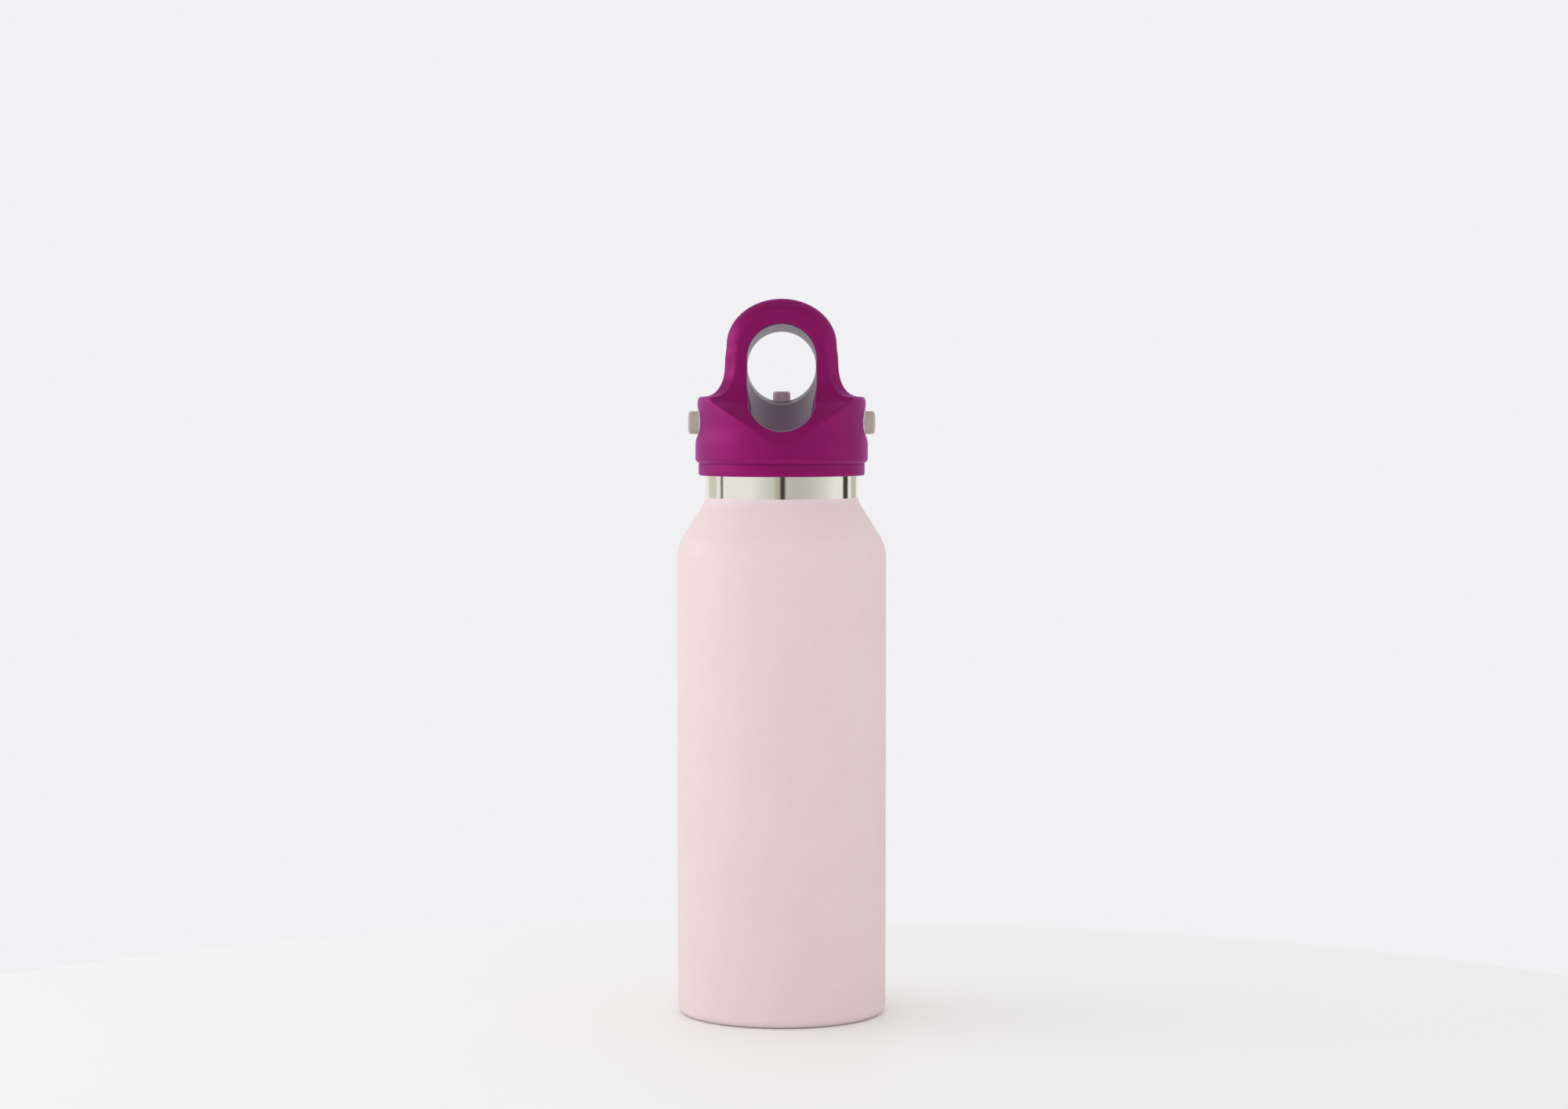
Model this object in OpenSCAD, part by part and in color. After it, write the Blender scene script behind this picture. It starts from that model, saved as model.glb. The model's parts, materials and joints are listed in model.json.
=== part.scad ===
// Insulated steel bottle with a squeeze-to-open lid and a carry ring.
// Origin at the middle of the base, on the table. +Z is up, -Y is the front.

/* [Bottle] */
// Outside diameter of the body
body_d = 73; // [66:0.5:90]
// Height of the straight side above the table
body_h = 159; // [110:1:220]
// Height of the sloping shoulder
shoulder_h = 21.3; // [18:0.1:30]
// Rounding where the straight side turns into the shoulder
shoulder_r = 15.5; // [8:0.5:18]
// Rounding at the foot of the body
foot_r = 2.6; // [1:0.1:4]
// Outside diameter of the bare steel neck
neck_d = 53.4; // [50:0.1:64]
// Height of the bare neck, from the end of the paint to the rim
neck_h = 16.7; // [15:0.1:24]
// Radial distance from the outside of the neck to its bore
neck_wall = 3.7; // [3.4:0.1:5]
// Thickness of the steel sheet
sheet_t = 0.5; // [0.4:0.05:0.8]
// Width of the vacuum gap between the two walls
jacket_gap = 2.4; // [1.5:0.1:4]
// How far the middle of the base is raised off the table
base_recess = 2; // [1:0.1:4]

/* [Lid] */
// How far the skirt of the lid comes down over the neck
skirt_lap = 9; // [6:0.1:11]
// Height of the lid from its lower edge to its shoulders
lid_h = 27.4; // [26:0.1:34]
// Wall of the lid
lid_wall = 1.8; // [1.4:0.1:2.6]
// Running gap between the skirt and the neck
skirt_gap = 0.5; // [0.3:0.1:1]
// How far the grip band stands out from the skirt
grip_bulge = 1.1; // [0.4:0.05:1.5]
// Height of the narrow band at the lower edge of the lid
skirt_band_h = 4.2; // [3:0.1:6]
// How far the rounding of the lid top would reach past the side of the lid
dome_over = 1.6; // [0:0.1:3]
// Half length of the flat part of the lid top, front to back
dome_flat = 8; // [6:0.5:10]
// Rounding of the lid shoulders
lid_corner = 2; // [1:0.1:2.5]

/* [Carry ring] */
// Outside radius of the carry ring
ring_r = 19.6; // [17:0.1:23.6]
// Depth of the carry ring, front to back
ring_depth = 22; // [18:0.5:26.5]
// Height of the straight legs of the ring above the lid shoulders
leg_h = 14.3; // [11.5:0.1:18]
// Radius of the finger hole
hole_r = 12; // [10:0.1:14.4]
// How much higher the finger hole is at the front than at the back
hole_rise = 3; // [0:0.1:4]
// Rounding of the edges of the ring
ring_edge = 4; // [1:0.1:4.5]
// Radius of the flare from the ring faces to the dome
fillet_r = 13; // [4:0.1:14]
// Height of the flare from the ring's sides to the lid shoulders
flare_h = 9.6; // [6:0.1:11]
// Wall of the grey liner in the finger hole
liner_t = 1.6; // [1.2:0.1:2.4]
// Width of the lid edge that hides the front end of the liner
liner_lip = 1.6; // [1:0.1:2.5]

/* [Buttons] */
// Height of a side button
button_h = 8; // [6.5:0.1:9.6]
// Length of a side button round the lid
button_l = 13; // [10.8:0.1:14]
// How far a side button stands out of its dish
button_out = 3.8; // [3:0.1:5]
// Depth of the thumb dish round a side button
dish_depth = 0.6; // [0.2:0.1:0.8]
// Wall of the pale collar round a button
collar_t = 0.6; // [0.5:0.05:0.9]
// Radius of the vent button behind the ring
vent_r = 3.1; // [2.6:0.1:3.7]
// Height of the vent button above the lid shoulders
vent_rise = 1.9; // [1.6:0.1:3]
// Travel of every button
press = 2.5; // [1.5:0.1:2.5]

/* [Stopper] */
// Depth of the stopper below the rim
plug_depth = 19; // [18:0.1:23]
// Gap between the stopper and the bore of the neck
plug_gap = 0.4; // [0.3:0.05:0.6]
// Wall of the stopper cup
cup_t = 1.8; // [1.5:0.1:2.2]
// Thickness of the gasket that lies on the rim
gasket_t = 1; // [0.8:0.1:1.6]
// Thickness of the tray that carries the works
tray_t = 1.8; // [1.5:0.1:2.4]
// Thickness of the spring steel of a latch
latch_t = 0.6; // [0.4:0.05:0.8]
// Width of a latch
latch_w = 9; // [7:0.1:10]
// How far a latch reaches under the lip of the neck
latch_bite = 1.2; // [0.8:0.1:1.3]
// Radius of the vent rod
rod_r = 1.5; // [1.2:0.1:1.8]

/* [Hidden] */

$fn = 96;
hull_fn = 64;     // segments of the finger hole
pill_fn = 32;     // segments of a button
eps = 1;          // overrun of a cut past the face that it opens
fit = 0.1;        // clearance between pieces that are fixed together
slide = 0.15;     // clearance round a piece that slides

// Radii from the axis of the bottle
r_body = body_d / 2;
r_vessel = r_body - sheet_t - jacket_gap;
r_neck = neck_d / 2;
r_mouth = r_neck - neck_wall;
groove_depth = latch_bite + 0.4;
r_plug = r_mouth - plug_gap;
r_cup = r_plug - cup_t;
r_bore = r_neck + skirt_gap;
r_skirt = r_bore + lid_wall;
r_grip = r_skirt + grip_bulge;
r_waist = r_skirt + 0.35;
r_dish = r_waist - dish_depth;
r_tray = r_bore - 3 * fit;
r_flat = r_waist - lid_corner;               // where the lid top starts to round over
flare_w = r_flat + 0.2 - ring_r;             // flare from the ring out to just past that

// Heights above the table
z_paint = body_h + shoulder_h;
z_rim = z_paint + neck_h;
z_skirt = z_rim - skirt_lap;
z_lid = z_skirt + lid_h;
z_ring = z_lid + leg_h;
z_flange = z_rim + gasket_t;
flange_t = 1.4;
z_tray = z_flange + flange_t;
z_deck = z_tray + tray_t;
button_lift = 1.2;                           // height of a button above the tray
z_button = z_deck + button_lift + button_h / 2;
z_plug = z_rim - plug_depth;
floor_t = 2;                                 // floor of the stopper cup
z_floor = z_plug + floor_t;
seat_h = 3;                                  // bosses on that floor
z_seat = z_floor + seat_h;
lip_h = 2.2;                                 // height of the lip over the latch groove
groove_h = 4.6;
z_lip = z_rim - lip_h;
z_nose = z_lip - groove_h / 2;
vessel_floor = base_recess + 5;              // underside of the inner vessel

// Finger hole: a round back end, and a front end that is drawn down into a scoop
scoop_gap = 0.5;                             // space between the liner and the tray
scoop_run = 9.5;                             // length of the nearly level floor of the scoop
scoop_fall = 0.3;                            // how far that floor falls to the front
z_scoop = z_deck + scoop_gap + liner_t + hole_r;
z_back_hole = z_ring - 3.7;
y_front = r_skirt + 0.5;
ring_y = ring_depth / 2;
ring_sink = 0.1;                             // how far the flares run into the faces of the ring
edge_n = 3;                                  // facets of the ring's rounded edges

// Outline of the lid seen from the side
dome_reach = r_waist + dome_over;
dome_r = min(dome_reach - dome_flat, lid_h - skirt_band_h);  // ends above the narrow band
dome_mid = dome_reach - dome_r;              // a wider lid gets a longer flat, not a deeper dome
z_dome = z_lid - dome_r;
fillet_y = ring_y - ring_sink + fillet_r;
fillet_z = z_dome + sqrt(pow(dome_r + fillet_r, 2) - pow(fillet_y - dome_mid, 2));
dome_turn = atan2(fillet_y - dome_mid, fillet_z - z_dome);

// Works
button_wall = r_bore - 1.2;                  // inner end of a collar, from the axis
flange_x = button_wall - 0.2;                // outer face of the flange that keeps a button in
button_flange_t = 1.2;
flange_over = 0.5;                           // how far that flange overlaps its collar
latch_x = r_cup - 1.2;                       // middle of the upright arm of a latch
pusher_x = latch_x + latch_t / 2 + slide;    // tip of a button's pusher
pusher_h = 5;
pusher_w = 6;
boss_r = 2.6;
boss_circle = r_cup - 4;                     // circle of the lid's four screw bosses
boss_clear = hole_r + liner_t + fit + 0.7;   // the bosses' outer sides pass beside the liner
boss_x = max(boss_circle / sqrt(2), boss_clear - boss_r);
boss_y = sqrt(boss_circle * boss_circle - boss_x * boss_x);
screw_r = 0.95;
screw_head_r = 1.9;
screw_head_h = 1.3;
y_vent = min(ring_y + 4.3, r_cup - 5.5);     // behind the ring, and clear of the cup's wall
r_vent_hole = vent_r + slide + collar_t + fit;
vent_flange = 1.3;                           // flange of the vent button past its side
z_vent_top = z_lid + vent_rise;
z_vent_collar = z_lid - 7;                   // lower end of the vent collar
vent_flange_t = 1.5;
z_vent_base = z_vent_collar - 0.3 - vent_flange_t;
spring_wire = 0.4;
spring_r = rod_r + 1.4;
spring_turns = 6;
spring_steps = 14;
z_collar = z_tray - 3.4;                     // underside of the collar on the vent rod
valve_r = 5;
valve_t = 2.2;
washer_t = 0.8;

// Points on an arc, from angle a to angle b
function arc(x, y, r, a, b, n = 10) =
    [for (i = [0:n]) [x + r * cos(a + (b - a) * i / n), y + r * sin(a + (b - a) * i / n)]];
function reversed(p) = [for (i = [len(p) - 1:-1:0]) p[i]];
function mirrored(p) = [for (q = reversed(p)) [-q[0], q[1]]];
function flipped(p) = [for (q = reversed(p)) [q[0], -q[1]]];

// The outline of a bent strip of thickness t along a path
function side_of(p, i, d) =
    let (a = p[max(i - 1, 0)], b = p[min(i + 1, len(p) - 1)], v = b - a, n = norm(v))
    [p[i][0] - v[1] / n * d, p[i][1] + v[0] / n * d];
function strip(p, t) = concat([for (i = [0:len(p) - 1]) side_of(p, i, t / 2)],
                              [for (i = [len(p) - 1:-1:0]) side_of(p, i, -t / 2)]);

// Turned so that the seam of a round piece lies at the back
module revolve(points) rotate(90) rotate_extrude() polygon(points);
module along_y(points, depth) rotate([90, 0, 0]) linear_extrude(depth, center = true) polygon(points);
module along_x(points, width) rotate([90, 0, 90]) linear_extrude(width, center = true) polygon(points);

// Wall of the body from the foot to the neck, its outer face moved in by d
shoulder_a = 33.5;                           // slope of the shoulder from the vertical
function wall_line(d) = concat(
    arc(r_body - foot_r, foot_r, foot_r - d, -90, 0),
    arc(r_body - shoulder_r, body_h, shoulder_r - d, 0, shoulder_a),
    [[r_neck - d + 1.15, z_paint - 3 - d * 0.3],
     [r_neck - d + 0.3, z_paint - 1.2 - d * 0.3],
     [r_neck - d, z_paint]]);

module outer_shell() color("#e3cfd0") revolve(concat(
    wall_line(0), reversed(wall_line(sheet_t)),
    [[r_body - 7, sheet_t], [r_body - 7, 0]]));

module mouth_ring() color("#c9c7bf") {
    r_groove = r_mouth + groove_depth;
    ramp = groove_depth;
    revolve(concat(
        [[r_neck - sheet_t, z_paint], [r_neck, z_paint]],
        arc(r_neck - 0.8, z_rim - 0.8, 0.8, 0, 90),
        arc(r_mouth + 0.8, z_rim - 0.8, 0.8, 90, 180),
        [[r_mouth, z_lip], [r_groove, z_lip - 0.6 * ramp], [r_groove, z_lip - groove_h + ramp],
         [r_mouth, z_lip - groove_h], [r_mouth, z_join], [r_mouth + sheet_t, z_join],
         [r_mouth + sheet_t, z_lip - groove_h - 0.3], [r_groove + sheet_t, z_lip - groove_h + ramp - 0.3],
         [r_groove + sheet_t, z_lip], [r_neck - sheet_t, z_lip]]));
}

// Wall of the inner vessel, its outer face moved in by d
vessel_corner = 6;
vessel_slope_top = z_paint - 4;
z_join = z_paint + 1.7;                      // where the inner vessel meets the mouth ring
function vessel_line(d) = concat(
    [[0, vessel_floor + d]],
    arc(r_vessel - vessel_corner, vessel_floor + vessel_corner, vessel_corner - d, -90, 0),
    arc(r_vessel - shoulder_r, body_h - 3, shoulder_r - d, 0, shoulder_a),
    [[r_mouth + sheet_t - d + 0.8, vessel_slope_top - 0.2 * d], [r_mouth + sheet_t - d, vessel_slope_top + 2],
     [r_mouth + sheet_t - d, z_join]]);

module inner_vessel() color("#cfcfca") revolve(concat(vessel_line(0), reversed(vessel_line(sheet_t))));

module base_plate() color("#e3cfd0") {
    r_edge = r_body - 7;
    step = 1.6;
    difference() {
        revolve([[0, base_recess], [r_edge - 2 * step, base_recess], [r_edge - step, sheet_t],
                 [r_edge - step, 0], [r_edge, 0], [r_edge, sheet_t + 0.4],
                 [r_edge - step + sheet_t, sheet_t + 0.4], [r_edge - 2 * step + sheet_t, base_recess + sheet_t],
                 [0, base_recess + sheet_t]]);
        translate([0, 0, base_recess - eps]) cylinder(r = 1.5, h = sheet_t + 2 * eps);
    }
}

module vacuum_seal() color("#8d8d8a") revolve(concat(
    [[0, base_recess - 0.9]], arc(0, base_recess - 0.2, 2.6, -15, 0, 2),
    [[2.6, base_recess], [1.5, base_recess], [1.5, base_recess + sheet_t], [0, base_recess + sheet_t]]));

module getter() color("#6f6f6f") translate([r_vessel / 2, 0, base_recess + sheet_t]) cylinder(r = 4, h = 2.4);

// Half of the lid seen from the side, from the lower edge to the arch, moved in by d
function side_half(d) = concat(
    [[r_grip + eps, z_skirt - eps]],
    arc(dome_mid, z_dome, dome_r - d, 0, 90 - dome_turn, 14),
    reversed(arc(fillet_y, fillet_z, fillet_r + d, 180, 270 - dome_turn, 8)));
function side_outline(d) =
    let (half = concat(side_half(d), [[ring_y - ring_sink - d, z_ring - eps]]))
    concat(half, mirrored(half));

// Reach of the flares from each middle plane, at height z
function reach_x(z) = let (h = max(1 - (z - z_lid) / flare_h, 0))
    ring_r - ring_sink + (flare_w + ring_sink) * (1 - sqrt(max(1 - h * h, 0)));
function reach_y(z) = let (h = max(fillet_z - z, 0))
    fillet_y - sqrt(max(fillet_r * fillet_r - h * h, 0));
function flare_z(i) = z_lid + flare_h * (1 - cos(i * 90 / 12));

// Half of the lid seen from the front
function front_half() = concat(
    [[r_grip + eps, z_skirt - eps], [r_grip + eps, z_lid]],
    [for (i = [0:12]) [reach_x(flare_z(i)), flare_z(i)]],
    [[ring_r - ring_sink, z_ring - eps]]);

// Half of the lid seen from angle t, which carries the ring's rounded edges down into the flares
function slant_reach(z, t) = (reach_x(z) - ring_edge) * cos(t) + (reach_y(z) - ring_edge) * sin(t)
    + ring_edge * cos(45 / edge_n);
function slant_half(t) = concat(
    [[2 * r_grip, z_skirt - eps], [2 * r_grip, z_lid - 0.3], [slant_reach(z_lid, t), z_lid - 0.3]],
    [for (i = [0:12]) let (z = flare_z(i + t / 90)) [slant_reach(z, t), z]],
    [[slant_reach(z_ring, t), z_ring - eps]]);

// The round body of the lid, and the room above it for the ring and its flares
module lid_turned() revolve(concat(
    [[0, z_skirt]], arc(r_skirt - 0.8, z_skirt + 0.8, 0.8, -90, 0, 6),
    [[r_skirt, z_skirt + skirt_band_h]],
    arc(r_grip - 0.9, z_skirt + skirt_band_h + 1.5, 0.9, -30, 0, 4),
    [[r_grip, z_skirt + 11], [r_grip - 0.2, z_skirt + 13],
     [r_waist + 0.1, z_skirt + 15.5], [r_waist, z_skirt + 17.5]],
    arc(r_flat, z_lid - lid_corner, lid_corner, 0, 90, 8),
    [[r_flat - 0.6, z_lid + 0.25], [r_flat - 1.2, z_lid + 1.1],
     [r_flat - 1.2, z_ring + eps], [0, z_ring + eps]]));

// The ring above the lid: two legs in one block, and the arch on them
function ring_corner() = arc(ring_r - ring_edge, ring_y - ring_edge, ring_edge, 0, 90, edge_n);
module ring() {
    half = concat(ring_corner(), mirrored(ring_corner()));
    translate([0, 0, z_lid]) linear_extrude(leg_h) polygon(concat(half, flipped(half)));
    translate([0, 0, z_ring]) rotate([90, 0, 0]) rotate_extrude(angle = 180)
        polygon(concat([[0, -ring_y]], flipped(ring_corner()), ring_corner(), [[0, ring_y]]));
}

module slant(t, wide) intersection() {
    outline = concat(slant_half(t), mirrored(slant_half(t)));
    rotate(t) along_y(outline, wide);
    rotate(-t) along_y(outline, wide);
}

// The lid as one solid lump: turned body, dome, flares and ring
module lid_lump() {
    wide = 4 * r_grip;
    intersection() {
        along_x(side_outline(0), wide);
        along_y(concat(front_half(), mirrored(front_half())), wide);
        slant(90 / edge_n * 0.5, wide);
        slant(90 / edge_n * 1.5, wide);
        slant(90 / edge_n * 2.5, wide);
        lid_turned();
    }
    ring();
}

// The finger hole grown by d, and the shallow run-out that it leaves behind the ring
module finger_hole(d) hull() {
    for (p = [[ring_y + eps, z_back_hole], [-ring_y - 2, z_back_hole + hole_rise],
              [scoop_run - y_front, z_scoop + scoop_fall], [-y_front, z_scoop]])
        translate([0, p[0], p[1]]) rotate([90, 0, 0]) cylinder(r = hole_r + d, h = 0.1, $fn = hull_fn);
}
module run_out() translate([0, r_grip, z_back_hole]) rotate([90, 0, 0])
    cylinder(r = hole_r, h = r_grip - ring_y - eps / 2);

// The space that the liner takes up front to back, moved out by d
module liner_zone(d) {
    front = concat(side_half(liner_lip - d), [[ring_y - liner_lip + d, z_ring + ring_r]]);
    back = ring_y + d;
    along_x(concat([[back, z_ring + ring_r]], mirrored(front), [[back, z_skirt - eps]]), 4 * r_grip);
}

// A rounded pill lying along Y that sticks out along +X, with its outer rim rounded by r
module pill(x0, x1, h, l, r) hull() for (s = [-1, 1]) translate([x0, s * (l - h) / 2, 0]) rotate([0, 90, 0])
    rotate_extrude($fn = pill_fn)
        polygon(concat([[0, 0], [h / 2, 0]], arc(h / 2 - r, x1 - x0 - r, r, 0, 90, 4), [[0, x1 - x0]]));
module on_side(s) translate([0, 0, z_button]) mirror([s < 0 ? 1 : 0, 0, 0]) children();

module screw_places() for (x = [-1, 1], y = [-1, 1]) translate([x * boss_x, y * boss_y, 0]) children();

module lid_shell() color("#8e1b6b") difference() {
    dish_r = 22;
    boss_top = z_lid - lid_wall;
    window_gap = 2 * (slide + collar_t + fit);
    union() {
        difference() {
            lid_lump();
            intersection() {
                along_x(side_outline(lid_wall), 4 * r_grip);
                revolve([[0, z_skirt - eps], [r_bore, z_skirt - eps], [r_bore, boss_top], [0, boss_top]]);
            }
        }
        screw_places() translate([0, 0, z_deck]) cylinder(r = boss_r, h = boss_top - z_deck);
        translate([0, y_vent, z_vent_collar]) cylinder(r = r_vent_hole + 1.2, h = boss_top - z_vent_collar - 1);
    }
    finger_hole(0);
    run_out();
    intersection() {
        finger_hole(liner_t + fit);
        liner_zone(fit);
    }
    screw_places() translate([0, 0, z_deck - eps]) cylinder(r = screw_r + 0.05, h = 7.4 + eps);
    for (s = [-1, 1]) {
        translate([s * (r_dish + dish_r), 0, z_button]) rotate([90, 0, 0])
            cylinder(r = dish_r, h = 4 * r_grip, center = true);
        on_side(s) pill(r_bore - 3, r_grip + 2, button_h + window_gap, button_l + window_gap, 0.2);
    }
    translate([0, y_vent, z_vent_collar - 2]) cylinder(r = r_vent_hole, h = 20);
}

module ring_liner() color("#9a929c") intersection() {
    difference() {
        finger_hole(liner_t);
        finger_hole(0);
    }
    liner_zone(0);
}

module works_tray() color("#d8d6d2") {
    spigot_h = 3.5;
    spigot_t = 1.5;
    r_spigot = r_cup - fit;
    difference() {
        union() {
            translate([0, 0, z_tray]) cylinder(r = r_tray, h = tray_t);
            difference() {
                translate([0, 0, z_tray - spigot_h]) cylinder(r = r_spigot, h = spigot_h + tray_t);
                translate([0, 0, z_tray - spigot_h - eps])
                    cylinder(r = r_spigot - spigot_t, h = spigot_h + eps);
            }
        }
        for (s = [-1, 1]) translate([s * latch_x, 0, z_tray])
            cube([2 * (press + 1), latch_w + 2, 4 * spigot_h], center = true);
        screw_places() translate([0, 0, z_tray - eps]) cylinder(r = screw_r + 0.3, h = tray_t + 2 * eps);
        translate([0, y_vent, z_tray - eps]) cylinder(r = rod_r + slide, h = tray_t + 2 * eps);
    }
}

module stopper_cup() color("#dcdad6") {
    seal_z = z_floor + 1;
    seal_h = 6;
    window_h = groove_h + 4.2;
    difference() {
        union() {
            revolve([[0, z_plug], [r_plug - 1, z_plug], [r_plug, z_plug + 1], [r_plug, seal_z],
                     [r_plug - 1.2, seal_z], [r_plug - 1.2, seal_z + seal_h], [r_plug, seal_z + seal_h],
                     [r_plug, z_flange], [r_tray, z_flange], [r_tray, z_tray], [r_cup, z_tray],
                     [r_cup, z_floor], [0, z_floor]]);
            for (s = [-1, 1]) translate([s * (r_cup - 6), 0, z_floor + (seat_h - eps) / 2])
                cube([7, latch_w, seat_h + eps], center = true);
            translate([0, y_vent, z_floor - eps]) cylinder(r = spring_r + 1.2, h = seat_h + eps);
        }
        for (s = [-1, 1]) {
            translate([s * r_plug, 0, z_nose]) cube([3 * cup_t, latch_w + 1, window_h], center = true);
            translate([s * (r_cup - 6), 0, z_floor]) cylinder(r = screw_r + 0.05, h = seat_h + eps);
        }
        translate([0, y_vent, z_plug - eps]) cylinder(r = rod_r + 0.5, h = floor_t + seat_h + 2 * eps);
    }
}

module neck_seal() color("#f0eeea") {
    seal_z = z_floor + 1;
    r_in = r_plug - 1.2 + fit / 2;
    r_lip = r_mouth - slide;
    revolve([[r_in, seal_z + 0.1], [r_plug - 0.3, seal_z + 0.1], [r_lip, seal_z + 1], [r_lip, seal_z + 1.8],
             [r_plug - 0.4, seal_z + 2.6], [r_plug - 0.4, seal_z + 3.4],
             [r_lip, seal_z + 4.2], [r_lip, seal_z + 5],
             [r_plug - 0.3, seal_z + 5.9], [r_in, seal_z + 5.9]]);
}

module rim_gasket() color("#f0eeea") difference() {
    translate([0, 0, z_rim]) cylinder(r = r_neck - 0.9, h = gasket_t);
    translate([0, 0, z_rim - eps]) cylinder(r = r_plug + fit, h = gasket_t + 2 * eps);
}

module tray_screws() color("#b5b5b0") screw_places() {
    translate([0, 0, z_tray - screw_head_h]) cylinder(r = screw_head_r, h = screw_head_h);
    translate([0, 0, z_tray - fit]) cylinder(r = screw_r, h = tray_t + 7 + fit);
}

module latch(s) color("#c4c4c0") mirror([s < 0 ? 1 : 0, 0, 0]) {
    x_nose = r_mouth + latch_bite - latch_t / 2;
    z_foot = z_seat + latch_t / 2;
    difference() {
        along_y(strip([[r_cup - 9.4, z_foot], [r_cup - 2.6, z_foot], [r_cup - 1.7, z_foot + 0.7],
                       [r_cup - 1.4, z_foot + 2], [latch_x, z_nose - 3.6],
                       [x_nose - 0.6, z_nose - 0.6], [x_nose, z_nose], [x_nose - 0.6, z_nose + 0.6],
                       [latch_x, z_nose + 3.4], [latch_x, z_button + 2.5]], latch_t), latch_w);
        translate([r_cup - 6, 0, z_floor]) cylinder(r = screw_r + 0.2, h = seat_h + 4);
    }
}
module left_latch() latch(-1);
module right_latch() latch(1);

module latch_screws() color("#b5b5b0") for (s = [-1, 1]) translate([s * (r_cup - 6), 0, 0]) {
    translate([0, 0, z_seat + latch_t]) cylinder(r = screw_head_r, h = screw_head_h);
    translate([0, 0, z_floor + 0.2]) cylinder(r = screw_r, h = seat_h + latch_t);
}

module collar(s) color("#f2efec") on_side(s) difference() {
    pill(button_wall, r_dish + 0.6, button_h + 2 * (slide + collar_t), button_l + 2 * (slide + collar_t), 0.3);
    pill(button_wall - eps, r_dish + 2, button_h + 2 * slide, button_l + 2 * slide, 0.1);
}
module left_collar() collar(-1);
module right_collar() collar(1);

module vent_collar() color("#f2efec") translate([0, y_vent, 0]) revolve([
    [vent_r + slide, z_vent_collar], [vent_r + slide + collar_t, z_vent_collar],
    [vent_r + slide + collar_t, z_lid - 1.3], [vent_r + slide, z_lid - 1.1]]);

module side_button(s) color("#b3aba3") on_side(s) {
    pill(flange_x - button_flange_t, r_dish + button_out, button_h, button_l, 1);
    pill(flange_x - button_flange_t, flange_x, button_h + 2 * flange_over, button_l + 2 * flange_over, 0.1);
    translate([pusher_x, -pusher_w / 2, -pusher_h / 2]) cube([flange_x - pusher_x - 0.1, pusher_w, pusher_h]);
}
module left_button() side_button(-1);
module right_button() side_button(1);

module vent_button() color("#8a7a80") translate([0, y_vent, 0]) difference() {
    revolve(concat([[0, z_vent_base], [vent_r + vent_flange, z_vent_base],
                    [vent_r + vent_flange, z_vent_base + vent_flange_t], [vent_r, z_vent_base + vent_flange_t]],
                   arc(vent_r - 0.9, z_vent_top - 0.9, 0.9, 0, 90, 5), [[0, z_vent_top]]));
    translate([0, 0, z_vent_base - eps]) cylinder(r = rod_r + 0.02, h = 4 + eps);
}

module vent_rod() color("#c4c4c0") translate([0, y_vent, 0]) union() {
    z_low = z_plug - washer_t - valve_t + 0.5;
    translate([0, 0, z_low]) cylinder(r = rod_r, h = z_vent_base + 4 - z_low);
    translate([0, 0, z_collar]) cylinder(r = spring_r + spring_wire, h = 1.2);
}

// A coil swept by a round wire between two heights
module coil(z0, z1) {
    rings = spring_turns * spring_steps;
    sides = 8;
    points = [for (i = [0:rings], k = [0:sides - 1])
        let (a = i * 360 / spring_steps, b = k * 360 / sides, r = spring_r + spring_wire * cos(b))
        [r * cos(a), r * sin(a), z0 + spring_wire * (1 + sin(b)) + (z1 - z0 - 2 * spring_wire) * i / rings]];
    faces = concat(
        [[for (k = [0:sides - 1]) k]],
        [for (i = [0:rings - 1], k = [0:sides - 1]) let (n = (k + 1) % sides)
            [i * sides + k, (i + 1) * sides + k, (i + 1) * sides + n, i * sides + n]],
        [[for (k = [sides - 1:-1:0]) rings * sides + k]]);
    polyhedron(points, faces);
}
module vent_spring() color("#c4c4c0") translate([0, y_vent, 0]) coil(z_seat, z_collar);

module vent_valve() color("#d8d6d2") translate([0, y_vent, 0]) difference() {
    translate([0, 0, z_plug - washer_t - valve_t]) cylinder(r = valve_r, h = valve_t);
    translate([0, 0, z_plug - washer_t - valve_t + 0.5]) cylinder(r = rod_r + 0.02, h = valve_t + eps);
}

module vent_washer() color("#f0eeea") translate([0, y_vent, z_plug - washer_t]) difference() {
    cylinder(r = valve_r - 0.4, h = washer_t);
    translate([0, 0, -eps]) cylinder(r = rod_r + 0.05, h = washer_t + 2 * eps);
}

outer_shell();
mouth_ring();
inner_vessel();
base_plate();
vacuum_seal();
getter();
lid_shell();
ring_liner();
works_tray();
stopper_cup();
neck_seal();
rim_gasket();
tray_screws();
left_latch();
right_latch();
latch_screws();
left_collar();
right_collar();
vent_collar();
left_button();
right_button();
vent_button();
vent_rod();
vent_spring();
vent_valve();
vent_washer();
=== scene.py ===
"""Insulated steel bottle with a squeeze-to-open lid and a carry ring: its looks around the CAD frame."""

import json
import logging
import math
from dataclasses import dataclass
from enum import Enum
from typing import Callable, Sequence

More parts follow.
